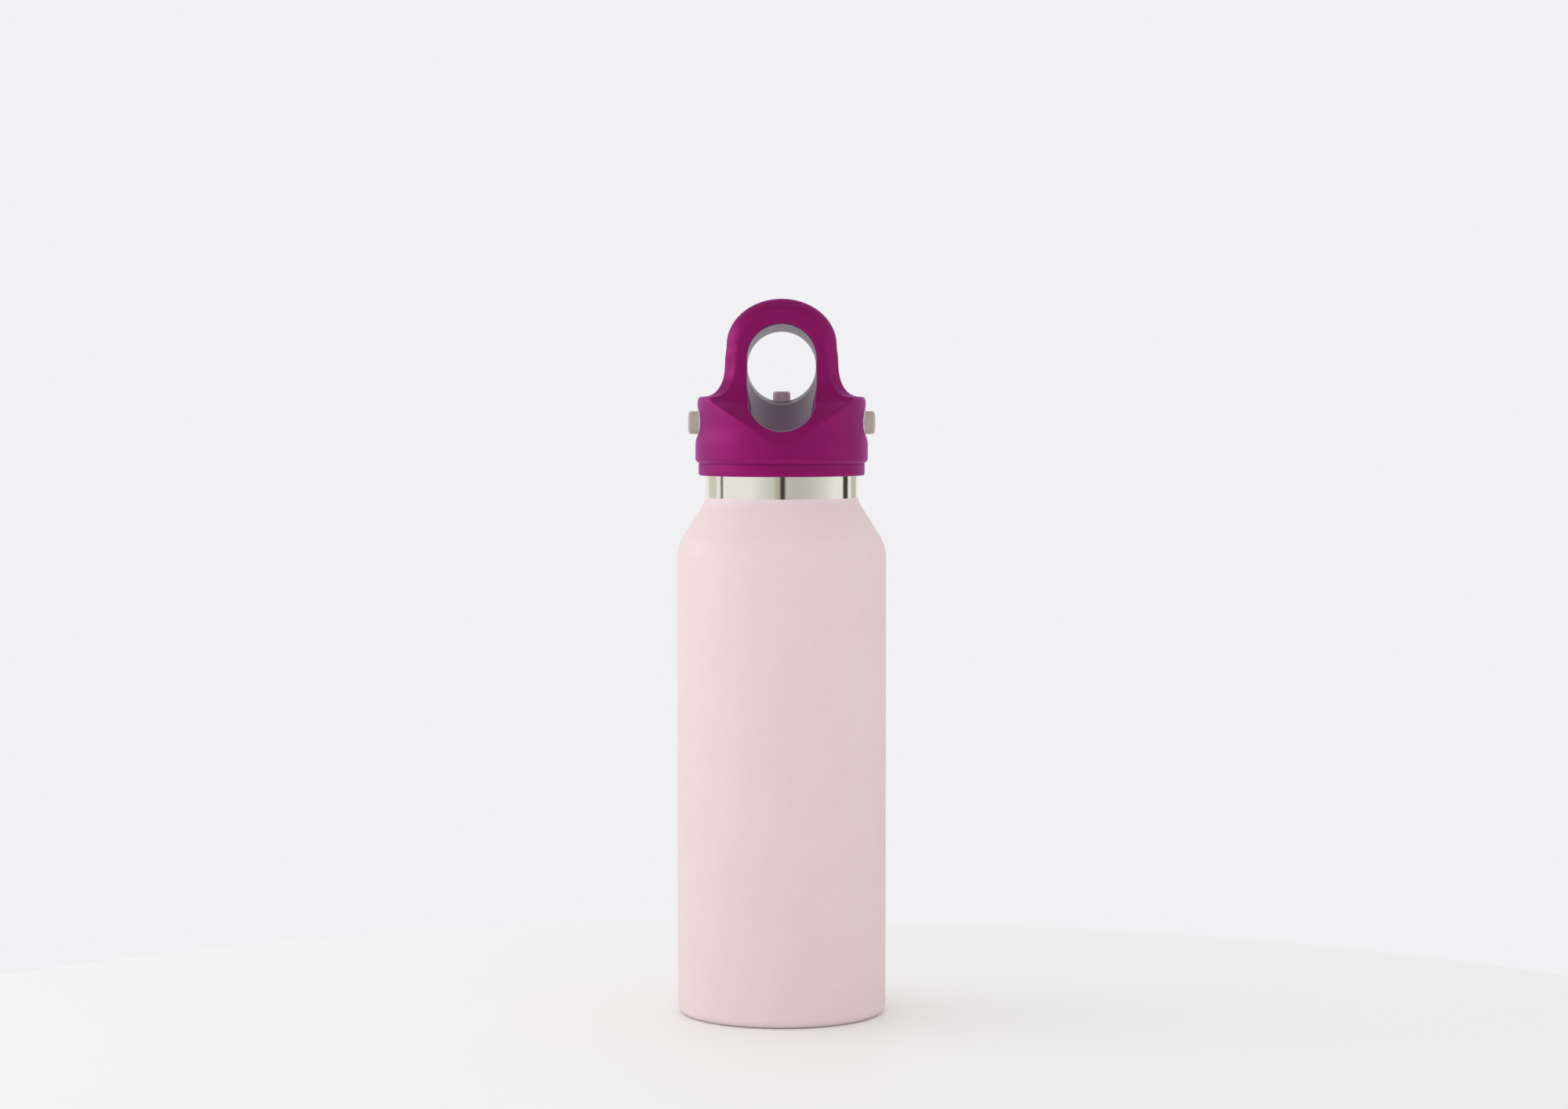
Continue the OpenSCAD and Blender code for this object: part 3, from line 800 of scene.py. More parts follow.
@dataclass
class Flask:
    """The double-walled bottle: painted shell, bare neck, inner vessel and base."""

    body_r: float
    paint_z: float
    rim_z: float
    # Painted wall
    body_h: float = 159.0 * MM
    shoulder_r: float = 15.5 * MM
    shoulder_turn: float = 33.5
    foot_r: float = 2.6 * MM
    sweep: Flat = (1.55 * MM, 3.7 * MM)
    knee: Flat = (0.1 * MM, 1.5 * MM)
    sheet: float = 0.5 * MM
    # Neck
    neck_r: float = 26.7 * MM
    mouth_r: float = 23.0 * MM
    rim_round: float = 0.8 * MM
    lip_h: float = 2.2 * MM
    groove: float = 1.6 * MM
    groove_h: float = 4.6 * MM
    groove_back: float = 0.3 * MM
    join_up: float = 1.7 * MM
    # Inner vessel
    jacket: float = 2.4 * MM
    floor_r: float = 6.0 * MM
    floor_up: float = 5.0 * MM
    vessel_drop: float = 3.0 * MM
    throat_drop: float = 4.0 * MM
    throat_w: float = 0.8 * MM
    throat_h: float = 2.0 * MM
    throat_bend: Flat = (0.2 * MM, 1.2 * MM)
    # Base
    recess: float = 2.0 * MM
    hem: float = 7.0 * MM
    hem_lap: float = 0.4 * MM
    step: float = 1.6 * MM
    pump_r: float = 1.5 * MM

    @classmethod
    def from_frame(cls, record: dict) -> "Flask":
        """Take the sizes that the frame states.

        Args:
            record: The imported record.

        Returns:
            The flask.
        """
        radius = next(m["dims"]["r_mm"] for m in record["mounts"] if m["name"] == "body_side")
        return cls(body_r=radius * MM, paint_z=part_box("outer_shell")[1][2], rim_z=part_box("mouth_ring")[1][2])

    @property
    def join_z(self) -> float:
        """Height at which the inner vessel meets the neck."""
        return self.paint_z + self.join_up

    def wall(self, inset: float) -> list[Flat]:
        """The painted wall from the foot to the neck.

        Args:
            inset: How far the wall is moved inwards.

        Returns:
            Points of radius and height.
        """
        foot = arc((self.body_r - self.foot_r, self.foot_r), self.foot_r - inset, -90.0, 0.0)
        bend = arc((self.body_r - self.shoulder_r, self.body_h), self.shoulder_r - inset,
                   0.0, self.shoulder_turn, 28)
        top, drop = self.neck_r - inset, 0.3 * inset
        start = Vector((top + self.sweep[0], self.paint_z - self.sweep[1] - drop))
        knee = Vector((top + self.knee[0], self.paint_z - self.knee[1] - drop))
        end = Vector((top, self.paint_z))
        steps = [i / 10 for i in range(11)]
        sweep = [start * (1 - t) ** 2 + knee * 2 * t * (1 - t) + end * t ** 2 for t in steps]
        return foot + bend + [(p.x, p.y) for p in sweep]

    def shell(self) -> Piece:
        """Spin the painted outer shell, with its hem turned in under the foot.

        Returns:
            The finished mesh.
        """
        hem = self.body_r - self.hem
        profile = self.wall(0.0) + self.wall(self.sheet)[::-1] + [(hem, self.sheet), (hem, 0.0)]
        return Bench.shade(Bench.turned("painted_shell", lathe(profile), 192))

    def neck(self) -> Piece:
        """Spin the bare neck with its rolled rim and the groove that the latches catch in.

        Returns:
            The finished mesh.
        """
        lip, deep = self.rim_z - self.lip_h, self.mouth_r + self.groove
        foot, skin, soft = lip - self.groove_h, self.sheet, self.rim_round
        under = foot - self.groove_back
        profile = [(self.neck_r - skin, self.paint_z), (self.neck_r, self.paint_z)]
        profile += arc((self.neck_r - soft, self.rim_z - soft), soft, 0.0, 90.0, 8)
        profile += arc((self.mouth_r + soft, self.rim_z - soft), soft, 90.0, 180.0, 8)
        profile += [(self.mouth_r, lip), (deep, lip - 0.6 * self.groove), (deep, foot + self.groove)]
        profile += [(self.mouth_r, foot), (self.mouth_r, self.join_z), (self.mouth_r + skin, self.join_z)]
        profile += [(self.mouth_r + skin, under), (deep + skin, under + self.groove)]
        profile += [(deep + skin, lip), (self.neck_r - skin, lip)]
        return Bench.shade(Bench.turned("bare_neck", lathe(profile), 192), 28.0)

    def vessel(self) -> Piece:
        """Spin the inner vessel from its floor to the neck.

        Returns:
            The finished mesh.
        """
        radius, corner = self.body_r - self.sheet - self.jacket, self.floor_r
        floor, throat = self.recess + self.floor_up, self.paint_z - self.throat_drop
        bend, rise = self.throat_bend

        def line(inset: float) -> list[Flat]:
            """One face of the vessel's wall, moved inwards.

            Args:
                inset: How far it is moved.

            Returns:
                Points of radius and height.
            """
            neck = self.mouth_r + self.sheet - inset
            points = [(0.0, floor + inset)]
            points += arc((radius - corner, floor + corner), corner - inset, -90.0, 0.0)
            points += arc((radius - self.shoulder_r, self.body_h - self.vessel_drop),
                          self.shoulder_r - inset, 0.0, self.shoulder_turn, 24)
            points += [(neck + self.throat_w, throat - 0.2 * inset), (neck + bend, throat + rise)]
            return points + [(neck, throat + self.throat_h), (neck, self.join_z)]

        profile = line(0.0) + line(self.sheet)[::-1]
        return Bench.shade(Bench.turned("inner_wall", lathe(profile), 160, closed=False))

    def base(self) -> Piece:
        """Spin the recessed base plate, open in the middle for the seal of the vacuum gap.

        Returns:
            The finished mesh.
        """
        edge, skin, up = self.body_r - self.hem, self.sheet, self.recess
        foot, flat, lap = edge - self.step, edge - 2.0 * self.step, skin + self.hem_lap
        profile = [(self.pump_r, up), (flat, up), (foot, skin), (foot, 0.0), (edge, 0.0)]
        profile += [(edge, lap), (foot + skin, lap), (flat + skin, up + skin), (self.pump_r, up + skin)]
        return Bench.shade(Bench.turned("base_disc", lathe(profile), 128), 25.0)

    def build(self, paint: Paint) -> None:
        """Model the bottle's pieces and dress them.

        Args:
            paint: The finishes.
        """
        paint.dress(self.shell(), "outer_shell", "bottle")
        paint.dress(self.neck(), "mouth_ring", "bottle")
        paint.dress(self.vessel(), "inner_vessel", "bottle")
        paint.dress(self.base(), "base_plate", "bottle")


@dataclass
class Lid:
    """The moulded lid: crown with its carry ring, lower band, and the liner of the finger hole."""

    low: float
    top: float
    button_z: float
    vent_y: float
    # Round body
    height: float = 27.4 * MM
    wall: float = 1.8 * MM
    bore_r: float = 27.2 * MM
    grip_r: float = 30.1 * MM
    waist_r: float = 29.35 * MM
    waist_low: float = 10.2 * MM
    waist_h: float = 7.0 * MM
    heel: Flat = (0.9 * MM, 1.5 * MM)
    corner: float = 2.0 * MM
    brow: float = 0.35 * MM
    brow_bend: Flat = (0.6 * MM, 0.25 * MM)
    brow_end: Flat = (1.2 * MM, 1.1 * MM)
    # Lower band
    skirt_r: float = 29.0 * MM
    band_h: float = 4.2 * MM
    band_line: float = 0.12 * MM
    line_deep: float = 0.25 * MM
    band_rounds: tuple[float, float, float] = (0.8 * MM, 0.2 * MM, 0.4 * MM)
    # Dome and carry ring
    dome_r: float = 22.95 * MM
    dome_flat: float = 8.0 * MM
    ring_r: float = 19.6 * MM
    ring_y: float = 11.0 * MM
    edge: float = 4.4 * MM
    edge_soft: float = 1.6 * MM
    edge_turn: int = 15
    arch_h: float = 16.0 * MM
    leg_low: float = 19.65 * MM
    leg_high: float = 19.1 * MM
    # Flares from the ring to the shoulders and to the dome
    flare_w: float = 7.9 * MM
    flare_h: float = 12.5 * MM
    flare_bend: float = 2.4
    fillet_r: float = 13.0 * MM
    # Finger hole, with its scoop in front and its run-out behind
    hole_r: float = 12.0 * MM
    hole_drop: float = 3.7 * MM
    hole_rise: float = 3.0 * MM
    hole_lead: float = 2.0 * MM
    crest_drop: float = 1.5 * MM
    scoop_gap: float = 0.5 * MM
    scoop_run: float = 9.5 * MM
    scoop_fall: float = 0.3 * MM
    trough_over: float = 0.4 * MM
    trough_rise: float = 1.4 * MM
    trough_fall: float = 2.0 * MM
    # Liner
    liner_t: float = 1.6 * MM
    liner_lip: float = 1.6 * MM
    groove: float = 0.7 * MM
    # Clearance round a fitted piece, and how far a blank or a cutter stands out
    fit: float = 0.1 * MM
    over: float = 1.0 * MM
    # Works: deck, bosses, vent and button windows with their thumb dishes
    deck_z: float = 201.2 * MM
    boss_r: float = 2.6 * MM
    boss_xy: float = 11.88 * MM
    boss_in: float = 0.6 * MM
    vent_hole_r: float = 3.95 * MM
    vent_tube_t: float = 1.2 * MM
    vent_tube_h: float = 7.0 * MM
    vent_span: Flat = (-9.0 * MM, 11.0 * MM)
    window_in: float = 3.0 * MM
    window_out: float = 2.0 * MM
    dish_r: float = 29.0 * MM
    dish_round: float = 22.0 * MM
    # Regions that are softened
    crease_w: float = 2.0 * MM
    crease_clear: float = 0.7 * MM
    rim_w: float = 0.9 * MM
    foot_clear: float = 2.0 * MM
    foot_w: float = 2.0 * MM
    foot_hold: float = 1.6
    crest_w: float = 4.0 * MM
    crest_hold: float = 1.2
    end_w: float = 2.0 * MM
    end_hold: float = 1.8
    # Skin: grid, rounds of smoothing and number of triangles
    voxel: float = 0.3 * MM
    liner_voxel: float = 0.22 * MM
    rounds: int = 6
    crease_rounds: int = 24
    rim_rounds: int = 12
    foot_rounds: int = 30
    liner_rounds: int = 8
    floor_rounds: int = 45
    most: int = 180000
    liner_most: int = 90000

    @classmethod
    def from_frame(cls) -> "Lid":
        """Take the heights and places that the frame states.

        Returns:
            The lid.
        """
        low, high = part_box("lid_shell")
        button_low, button_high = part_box("right_button")
        vent_low, vent_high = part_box("vent_button")
        return cls(low=low[2], top=high[2], button_z=(button_low[2] + button_high[2]) / 2,
                   vent_y=(vent_low[1] + vent_high[1]) / 2)

    @property
    def shoulder_z(self) -> float:
        """Height of the lid's shoulders."""
        return self.low + self.height

    @property
    def ring_z(self) -> float:
        """Height of the middle of the arch."""
        return self.top - self.ring_r

    @property
    def flat_r(self) -> float:
        """Radius at which the shoulder starts to round over."""
        return self.waist_r - self.corner

    @property
    def spring_z(self) -> float:
        """Height at which the legs of the ring turn into the arch."""
        return self.top - self.arch_h

    @property
    def arch_foot(self) -> float:
        """Height at which the arch is let into the flared legs."""
        return self.shoulder_z + self.flare_h + self.over

    @property
    def fillet_middle(self) -> Flat:
        """Middle of the flare from the ring's faces to the dome.

        Returns:
            The place as Y and Z.
        """
        y = self.ring_y + self.fillet_r
        reach = self.dome_r + self.fillet_r
        return y, self.shoulder_z - self.dome_r + math.sqrt(reach ** 2 - (y - self.dome_flat) ** 2)

    def side_half(self, inset: float) -> list[Flat]:
        """Half of the lid seen from the side, from the lower edge up to the arch.

        Args:
            inset: How far the outline is moved inwards.

        Returns:
            Points of Y and Z.
        """
        dome_z = self.shoulder_z - self.dome_r
        y, z = self.fillet_middle
        turn = math.degrees(math.atan2(y - self.dome_flat, z - dome_z))
        dome = arc((self.dome_flat, dome_z), self.dome_r - inset, 0.0, 90.0 - turn, 32)
        flare = arc((y, z), self.fillet_r + inset, 180.0, 270.0 - turn, 20)[::-1]
        return [(self.grip_r + self.over, self.low - self.over)] + dome + flare

    def half_width(self, z: float) -> float:
        """Measure the ring and its flares across at a height.

        Args:
            z: The height.

        Returns:
            Half the width.
        """
        foot = self.shoulder_z + self.flare_h
        drop = max(foot - z, 0.0) / self.flare_h
        rise = max(z - foot, 0.0) / (self.spring_z - foot)
        flare = self.flare_w * (1.0 - max(1.0 - drop ** self.flare_bend, 0.0) ** (1.0 / self.flare_bend))
        return self.leg_low + flare - (self.leg_low - self.leg_high) * (1.0 - math.cos(math.pi * rise)) / 2

    def half_depth(self, z: float) -> float:
        """Half the depth of the ring and its flares at a height."""
        y, middle = self.fillet_middle
        return y - math.sqrt(max(self.fillet_r ** 2 - max(middle - z, 0.0) ** 2, 0.0))

    def upright_half(self, turn: float) -> list[Flat]:
        """Half of the lid seen from an angle, with the soft chamfer of the ring's upright edges.

        Args:
            turn: Angle from the front, in degrees.

        Returns:
            Points of width and Z.
        """
        c, s = math.cos(math.radians(turn)), math.sin(math.radians(turn))
        outer = 2.0 * self.grip_r
        points = [(outer, self.low - self.over), (outer, self.shoulder_z)]
        for i in range(25):
            z = self.shoulder_z + (self.spring_z - self.shoulder_z) * (1.0 - math.cos(math.pi * i / 48))
            wide, deep = self.half_width(z) - self.edge_soft, self.half_depth(z) - self.edge_soft
            if turn < 45.0:
                deep -= self.edge - self.edge_soft
            else:
                wide -= self.edge - self.edge_soft
            points.append((wide * c + deep * s + self.edge_soft, z))
        return points

    def barrel(self) -> Piece:
        """Spin the round body of the lid above its lower band, with room on top for the ring.

        Returns:
            The closed mesh.
        """
        seat = self.low + self.band_h
        profile = [(0.0, seat), (self.skirt_r, seat)]
        profile += arc((self.grip_r - self.heel[0], seat + self.heel[1]), self.heel[0], -30.0, 0.0, 8)
        for i in range(17):
            swing = (self.grip_r - self.waist_r) * (1.0 - math.cos(math.pi * i / 16)) / 2
            profile.append((self.grip_r - swing, self.low + self.waist_low + self.waist_h * i / 16))
        brow = self.shoulder_z + self.brow
        profile += arc((self.flat_r, brow - self.corner), self.corner, 0.0, 90.0, 12)
        profile += [(self.flat_r - back, brow + up) for back, up in (self.brow_bend, self.brow_end)]
        head = self.spring_z + self.over
        profile += [(self.flat_r - self.brow_end[0], head), (0.0, head)]
        return Bench.turned("crown", lathe(profile), 192, closed=False)

    def across(self, name: str, outline: Sequence[Flat]) -> Piece:
        """Extrude an outline of Y and Z across the lid."""
        wide = 2.0 * self.grip_r
        return Bench.prism(name, [(-wide, y, z) for y, z in outline], (2.0 * wide, 0.0, 0.0))

    def along(self, name: str, outline: Sequence[Flat], turn: float) -> Piece:
        """Extrude an outline of width and height along the lid, turned about the upright axis.

        Args:
            name: Name of the new object.
            outline: Points of width and Z.
            turn: Angle from the front, in degrees.

        Returns:
            The closed mesh.
        """
        c, s = math.cos(math.radians(turn)), math.sin(math.radians(turn))
        deep = 2.0 * self.grip_r
        corners = [(x * c + deep * s, x * s - deep * c, z) for x, z in outline]
        return Bench.prism(name, corners, (-2.0 * deep * s, 2.0 * deep * c, 0.0))

    def arch(self) -> Piece:
        """Extrude the top of the ring as a flat arch and round its two rims.

        Returns:
            The closed mesh.
        """
        foot = self.arch_foot
        half = [(self.half_width(z), z) for z in (foot + (self.spring_z - foot) * i / 8 for i in range(8))]
        half += bow((0.0, self.spring_z), (self.leg_high, self.arch_h), 0.0, 90.0, 48)
        outline = half + mirrored(half)[1:]
        piece = Bench.prism("arch", [(x, -self.ring_y, z) for x, z in outline], (0.0, 2.0 * self.ring_y, 0.0))
        Bench.edit(piece)
        Bench.select(piece, Kind.EDGE, lambda a, b: abs(a.y - b.y) < MERGE and max(a.z, b.z) > foot + MERGE)
        bpy.ops.mesh.bevel(offset=self.edge, segments=9, profile=0.38, affect="EDGES")
        Bench.tidy()
        return piece

    def lump(self) -> Piece:
        """Shape the lid as one solid lump: round body, dome, flares and ring.

        Returns:
            The closed mesh.
        """
        side = self.side_half(0.0) + [(self.ring_y, self.spring_z)]
        crown = self.barrel()
        Bench.join(crown, Join.KEEP, self.across("side", side + mirrored(side)))
        for turn in range(self.edge_turn - 90, 90, self.edge_turn):
            half = self.upright_half(abs(turn))
            Bench.join(crown, Join.KEEP, self.along("upright", half + mirrored(half), turn))
        return Bench.join(crown, Join.FUSE, self.arch())

    def hole_line(self) -> list[Flat]:
        """Middles of the hole's rings: back, upper front, and two of the scoop low in front.

        Returns:
            The places as Y and Z.
        """
        back_z = self.ring_z - self.hole_drop
        scoop_z = self.deck_z + self.scoop_gap + self.liner_t + self.hole_r
        front = -self.skirt_r - self.over / 2
        return [(self.ring_y + self.over, back_z), (-self.ring_y - self.hole_lead, back_z + self.hole_rise),
                (front + self.scoop_run, scoop_z + self.scoop_fall), (front, scoop_z)]

    @property
    def crest(self) -> Flat:
        """Middle of the hole's ring where its floor stops rising steeply, as Y and Z."""
        return 0.0, self.hole_line()[0][1] - self.crest_drop

    def wrap(self, name: str, rings: Sequence[Flat], radius: float) -> Piece:
        """Wrap a hull round upright rings.

        Args:
            name: Name of the new object.
            rings: Middles of the rings as Y and Z.
            radius: Radius of every ring.

        Returns:
            The closed mesh.
        """
        Bench.clear()
        for i, (y, z) in enumerate(rings):
            bpy.ops.mesh.primitive_circle_add(vertices=128, radius=radius, location=(0.0, y, z),
                                              rotation=(math.pi / 2, 0.0, 0.0))
            if i == 0:
                piece = Bench.fresh(name)
                bpy.ops.object.mode_set(mode="EDIT")
        bpy.ops.mesh.select_all(action="SELECT")
        bpy.ops.mesh.convex_hull()
        Bench.tidy()
        return piece

    def finger_hole(self, name: str, grow: float) -> Piece:
        """Wrap the finger hole: a steep scoop in front, and a flatter run over the crest to the back.

        Args:
            name: Name of the new object.
            grow: How much wider than the hole it is.

        Returns:
            The closed mesh.
        """
        back, upper, scoop, front = self.hole_line()
        y, z = self.crest
        high = back[1] + self.hole_rise * (back[0] - y) / (back[0] - upper[0])
        radius, lap = self.hole_r + grow, y - self.over / 2
        hole = self.wrap(name, [(y, z), (y, high), upper, scoop, front], radius)
        return Bench.join(hole, Join.FUSE, self.wrap("run", [(lap, z), (lap, high), back], radius))

    def liner_zone(self, name: str, grow: float) -> Piece:
        """Extrude the space that the liner takes up from front to back.

        Args:
            name: Name of the new object.
            grow: How much larger than the liner it is. Below 0, it starts that far behind the liner's front.

        Returns:
            The closed mesh.
        """
        back, high = self.ring_y + abs(grow), self.ring_z + self.ring_r
        front = self.side_half(self.liner_lip - grow) + [(self.ring_y - self.liner_lip + grow, high)]
        return self.across(name, [(back, high)] + mirrored(front) + [(back, self.low - self.over)])

    def hollow(self, crown: Piece) -> None:
        """Cut the room for the works and add the bosses in it.

        Args:
            crown: The solid lump.
        """
        roof = self.shoulder_z - self.wall
        inner = self.side_half(self.wall) + [(self.ring_y - self.wall, self.ring_z)]
        room = Bench.drum("room", self.bore_r, (0.0, 0.0, self.low - self.over), (0.0, 0.0, roof), 160)
        Bench.join(room, Join.KEEP, self.across("roof", inner + mirrored(inner)))
        Bench.join(crown, Join.CUT, room)
        for x in (-self.boss_xy, self.boss_xy):
            for y in (-self.boss_xy, self.boss_xy):
                boss = Bench.drum("boss", self.boss_r, (x, y, self.deck_z), (x, y, roof + self.boss_in), 40)
                Bench.join(crown, Join.FUSE, boss)
        tube = Bench.drum("tube", self.vent_hole_r + self.vent_tube_t,
                          (0.0, self.vent_y, self.shoulder_z - self.vent_tube_h),
                          (0.0, self.vent_y, roof - self.over), 48)
        Bench.join(crown, Join.FUSE, tube)

    def pierce(self, crown: Piece) -> None:
        """Cut the finger hole, the liner's pocket, the thumb dishes and the holes of the buttons.

        Args:
            crown: The hollow crown.
        """
        middle = self.ring_z - self.hole_drop + self.trough_rise
        radius = self.hole_r + self.trough_over + self.trough_rise
        trough = Bench.drum("trough", radius, (0.0, self.ring_y, middle),
                            (0.0, self.grip_r, middle - self.trough_fall), 128)
        pocket = self.finger_hole("pocket", self.liner_t + self.fit)
        Bench.join(pocket, Join.KEEP, self.liner_zone("pocket_zone", self.fit))
        Bench.join(crown, Join.CUT, self.finger_hole("hole", 0.0), trough, pocket)
        reach = 2.0 * self.grip_r
        gap = 2.0 * (SideButton.gap + SideButton.collar_t + self.fit)
        length, height = SideButton.size
        for side in Side:
            x = side.value * (self.dish_r + self.dish_round)
            thumb = Bench.drum("thumb", self.dish_round, (x, -reach, self.button_z),
                               (x, reach, self.button_z), 256)
            window = Bench.pill("window", self.bore_r - self.window_in, self.grip_r + self.window_out,
                                (length + gap, height + gap), self.button_z, 0.0)
            Bench.join(crown, Join.CUT, thumb, Bench.flip(window, side))
        low, high = (self.shoulder_z + up for up in self.vent_span)
        vent = Bench.drum("vent", self.vent_hole_r, (0.0, self.vent_y, low), (0.0, self.vent_y, high), 64)
        Bench.join(crown, Join.CUT, vent)

    def band(self) -> Piece:
        """Spin the narrow band at the lower edge, with a fine groove under the crown.

        Returns:
            The closed mesh.
        """
        seat, line = self.low + self.band_h, self.band_line
        throat = self.skirt_r - self.line_deep
        foot, rim, mouth = self.band_rounds
        profile = arc((self.skirt_r - foot, self.low + foot), foot, -90.0, 0.0, 10)
        profile += arc((self.skirt_r - rim, seat - line - rim), rim, 0.0, 90.0, 5)
        profile += [(throat, seat - line), (throat, seat + line), (self.bore_r, seat + line)]
        profile += arc((self.bore_r + mouth, self.low + mouth), mouth, 180.0, 270.0, 5)
        return Bench.turned("band", lathe(profile), 192)

    def hole_clear(self, place: Vector) -> float:
        """Measure how far a place lies outside the finger hole, seen along the hole.

        Args:
            place: A place on the lid.

        Returns:
            The distance, which is below 0 inside the hole.
        """
        back, upper, scoop, front = self.hole_line()

        def level(path: Sequence[Flat]) -> float:
            """Height of a line of points at the place, held at its ends.

            Args:
                path: Points of Y and Z, from the back to the front.

            Returns:
                The height.
            """
            for (y, z), (next_y, next_z) in zip(path, path[1:]):
                if place.y > next_y:
                    slide = min((y - place.y) / (y - next_y), 1.0)
                    return z + (next_z - z) * max(slide, 0.0)
            return path[-1][1]

        low, high = level((back, self.crest, scoop, front)), level((back, upper, front))
        return math.hypot(place.x, place.z - min(max(place.z, low), high)) - self.hole_r

    def crease_share(self, place: Vector) -> float:
        """How near a place is to the crease between the dome and the round side, away from the finger hole.

        Args:
            place: A place on the crown.

        Returns:
            From 0, far off, to 1, on the crease.
        """
        side = self.waist_r - math.hypot(place.x, place.y)
        rise = place.z - self.shoulder_z + self.dome_r
        dome = self.dome_r - math.hypot(abs(place.y) - self.dome_flat, rise)
        clear = self.hole_clear(place) if place.y < 0.0 else self.hole_r
        away = min(max((clear - self.crease_clear) / MM, 0.0), 1.0)
        return (1.0 - max(abs(side), abs(dome)) / self.crease_w) * away

    def rim_share(self, place: Vector) -> float:
        """How near a place is to the front rim of the finger hole, from 0 to 1."""
        return 1.0 - abs(self.hole_clear(place)) / self.rim_w if place.y < 0.0 else 0.0

    def foot_share(self, place: Vector) -> float:
        """How near a place is to the feet of the arch on the outer sides of the ring.

        Args:
            place: A place on the crown.

        Returns:
            The share, which is 1 or more close to the feet.
        """
        if abs(place.x) < self.hole_r + self.foot_clear:
            return 0.0
        return self.foot_hold - abs(place.z - self.arch_foot) / self.foot_w

    def moulding(self) -> Piece:
        """Model the lid shell from its lump to its soft-edged skin.

        Returns:
            The finished mesh.
        """
        crown = self.lump()
        self.hollow(crown)
        self.pierce(crown)
        Bench.skin(crown, self.voxel, self.rounds)
        Bench.soften(crown, self.crease_share, self.crease_rounds)
        Bench.soften(crown, self.rim_share, self.rim_rounds)
        Bench.soften(crown, self.foot_share, self.foot_rounds)
        Bench.thin(crown, self.most)
        band = self.band()
        Bench.pick(crown)
        band.select_set(True)
        bpy.ops.object.join()
        crown.name = crown.data.name = "lid_moulding"
        return Bench.shade(crown, 40.0)

    def floor_share(self, place: Vector) -> float:
        """How near a place is to the crest or the back end of the liner, from 0 to 1."""
        crest = self.crest_hold - abs(place.y - self.crest[0]) / self.crest_w
        return max((place.y - self.ring_y) / self.end_w + self.end_hold, crest)

    def liner(self) -> Piece:
        """Model the soft liner of the finger hole, with a groove where it meets the lid's lip.

        Returns:
            The finished mesh.
        """
        sleeve = self.finger_hole("hole_liner", self.liner_t)
        groove = self.finger_hole("groove", self.groove)
        Bench.join(groove, Join.CUT, self.liner_zone("groove_zone", -self.groove))
        Bench.join(sleeve, Join.CUT, self.finger_hole("opening", 0.0), groove)
        Bench.join(sleeve, Join.KEEP, self.liner_zone("liner_zone", 0.0))
        Bench.skin(sleeve, self.liner_voxel, self.liner_rounds)
        Bench.soften(sleeve, self.floor_share, self.floor_rounds)
        Bench.thin(sleeve, self.liner_most)
        return Bench.shade(sleeve, 60.0)

    def build(self, paint: Paint) -> None:
        """Model the lid's pieces and dress them."""
        paint.dress(self.moulding(), "lid_shell", "lid")
        paint.dress(self.liner(), "ring_liner", "lid")


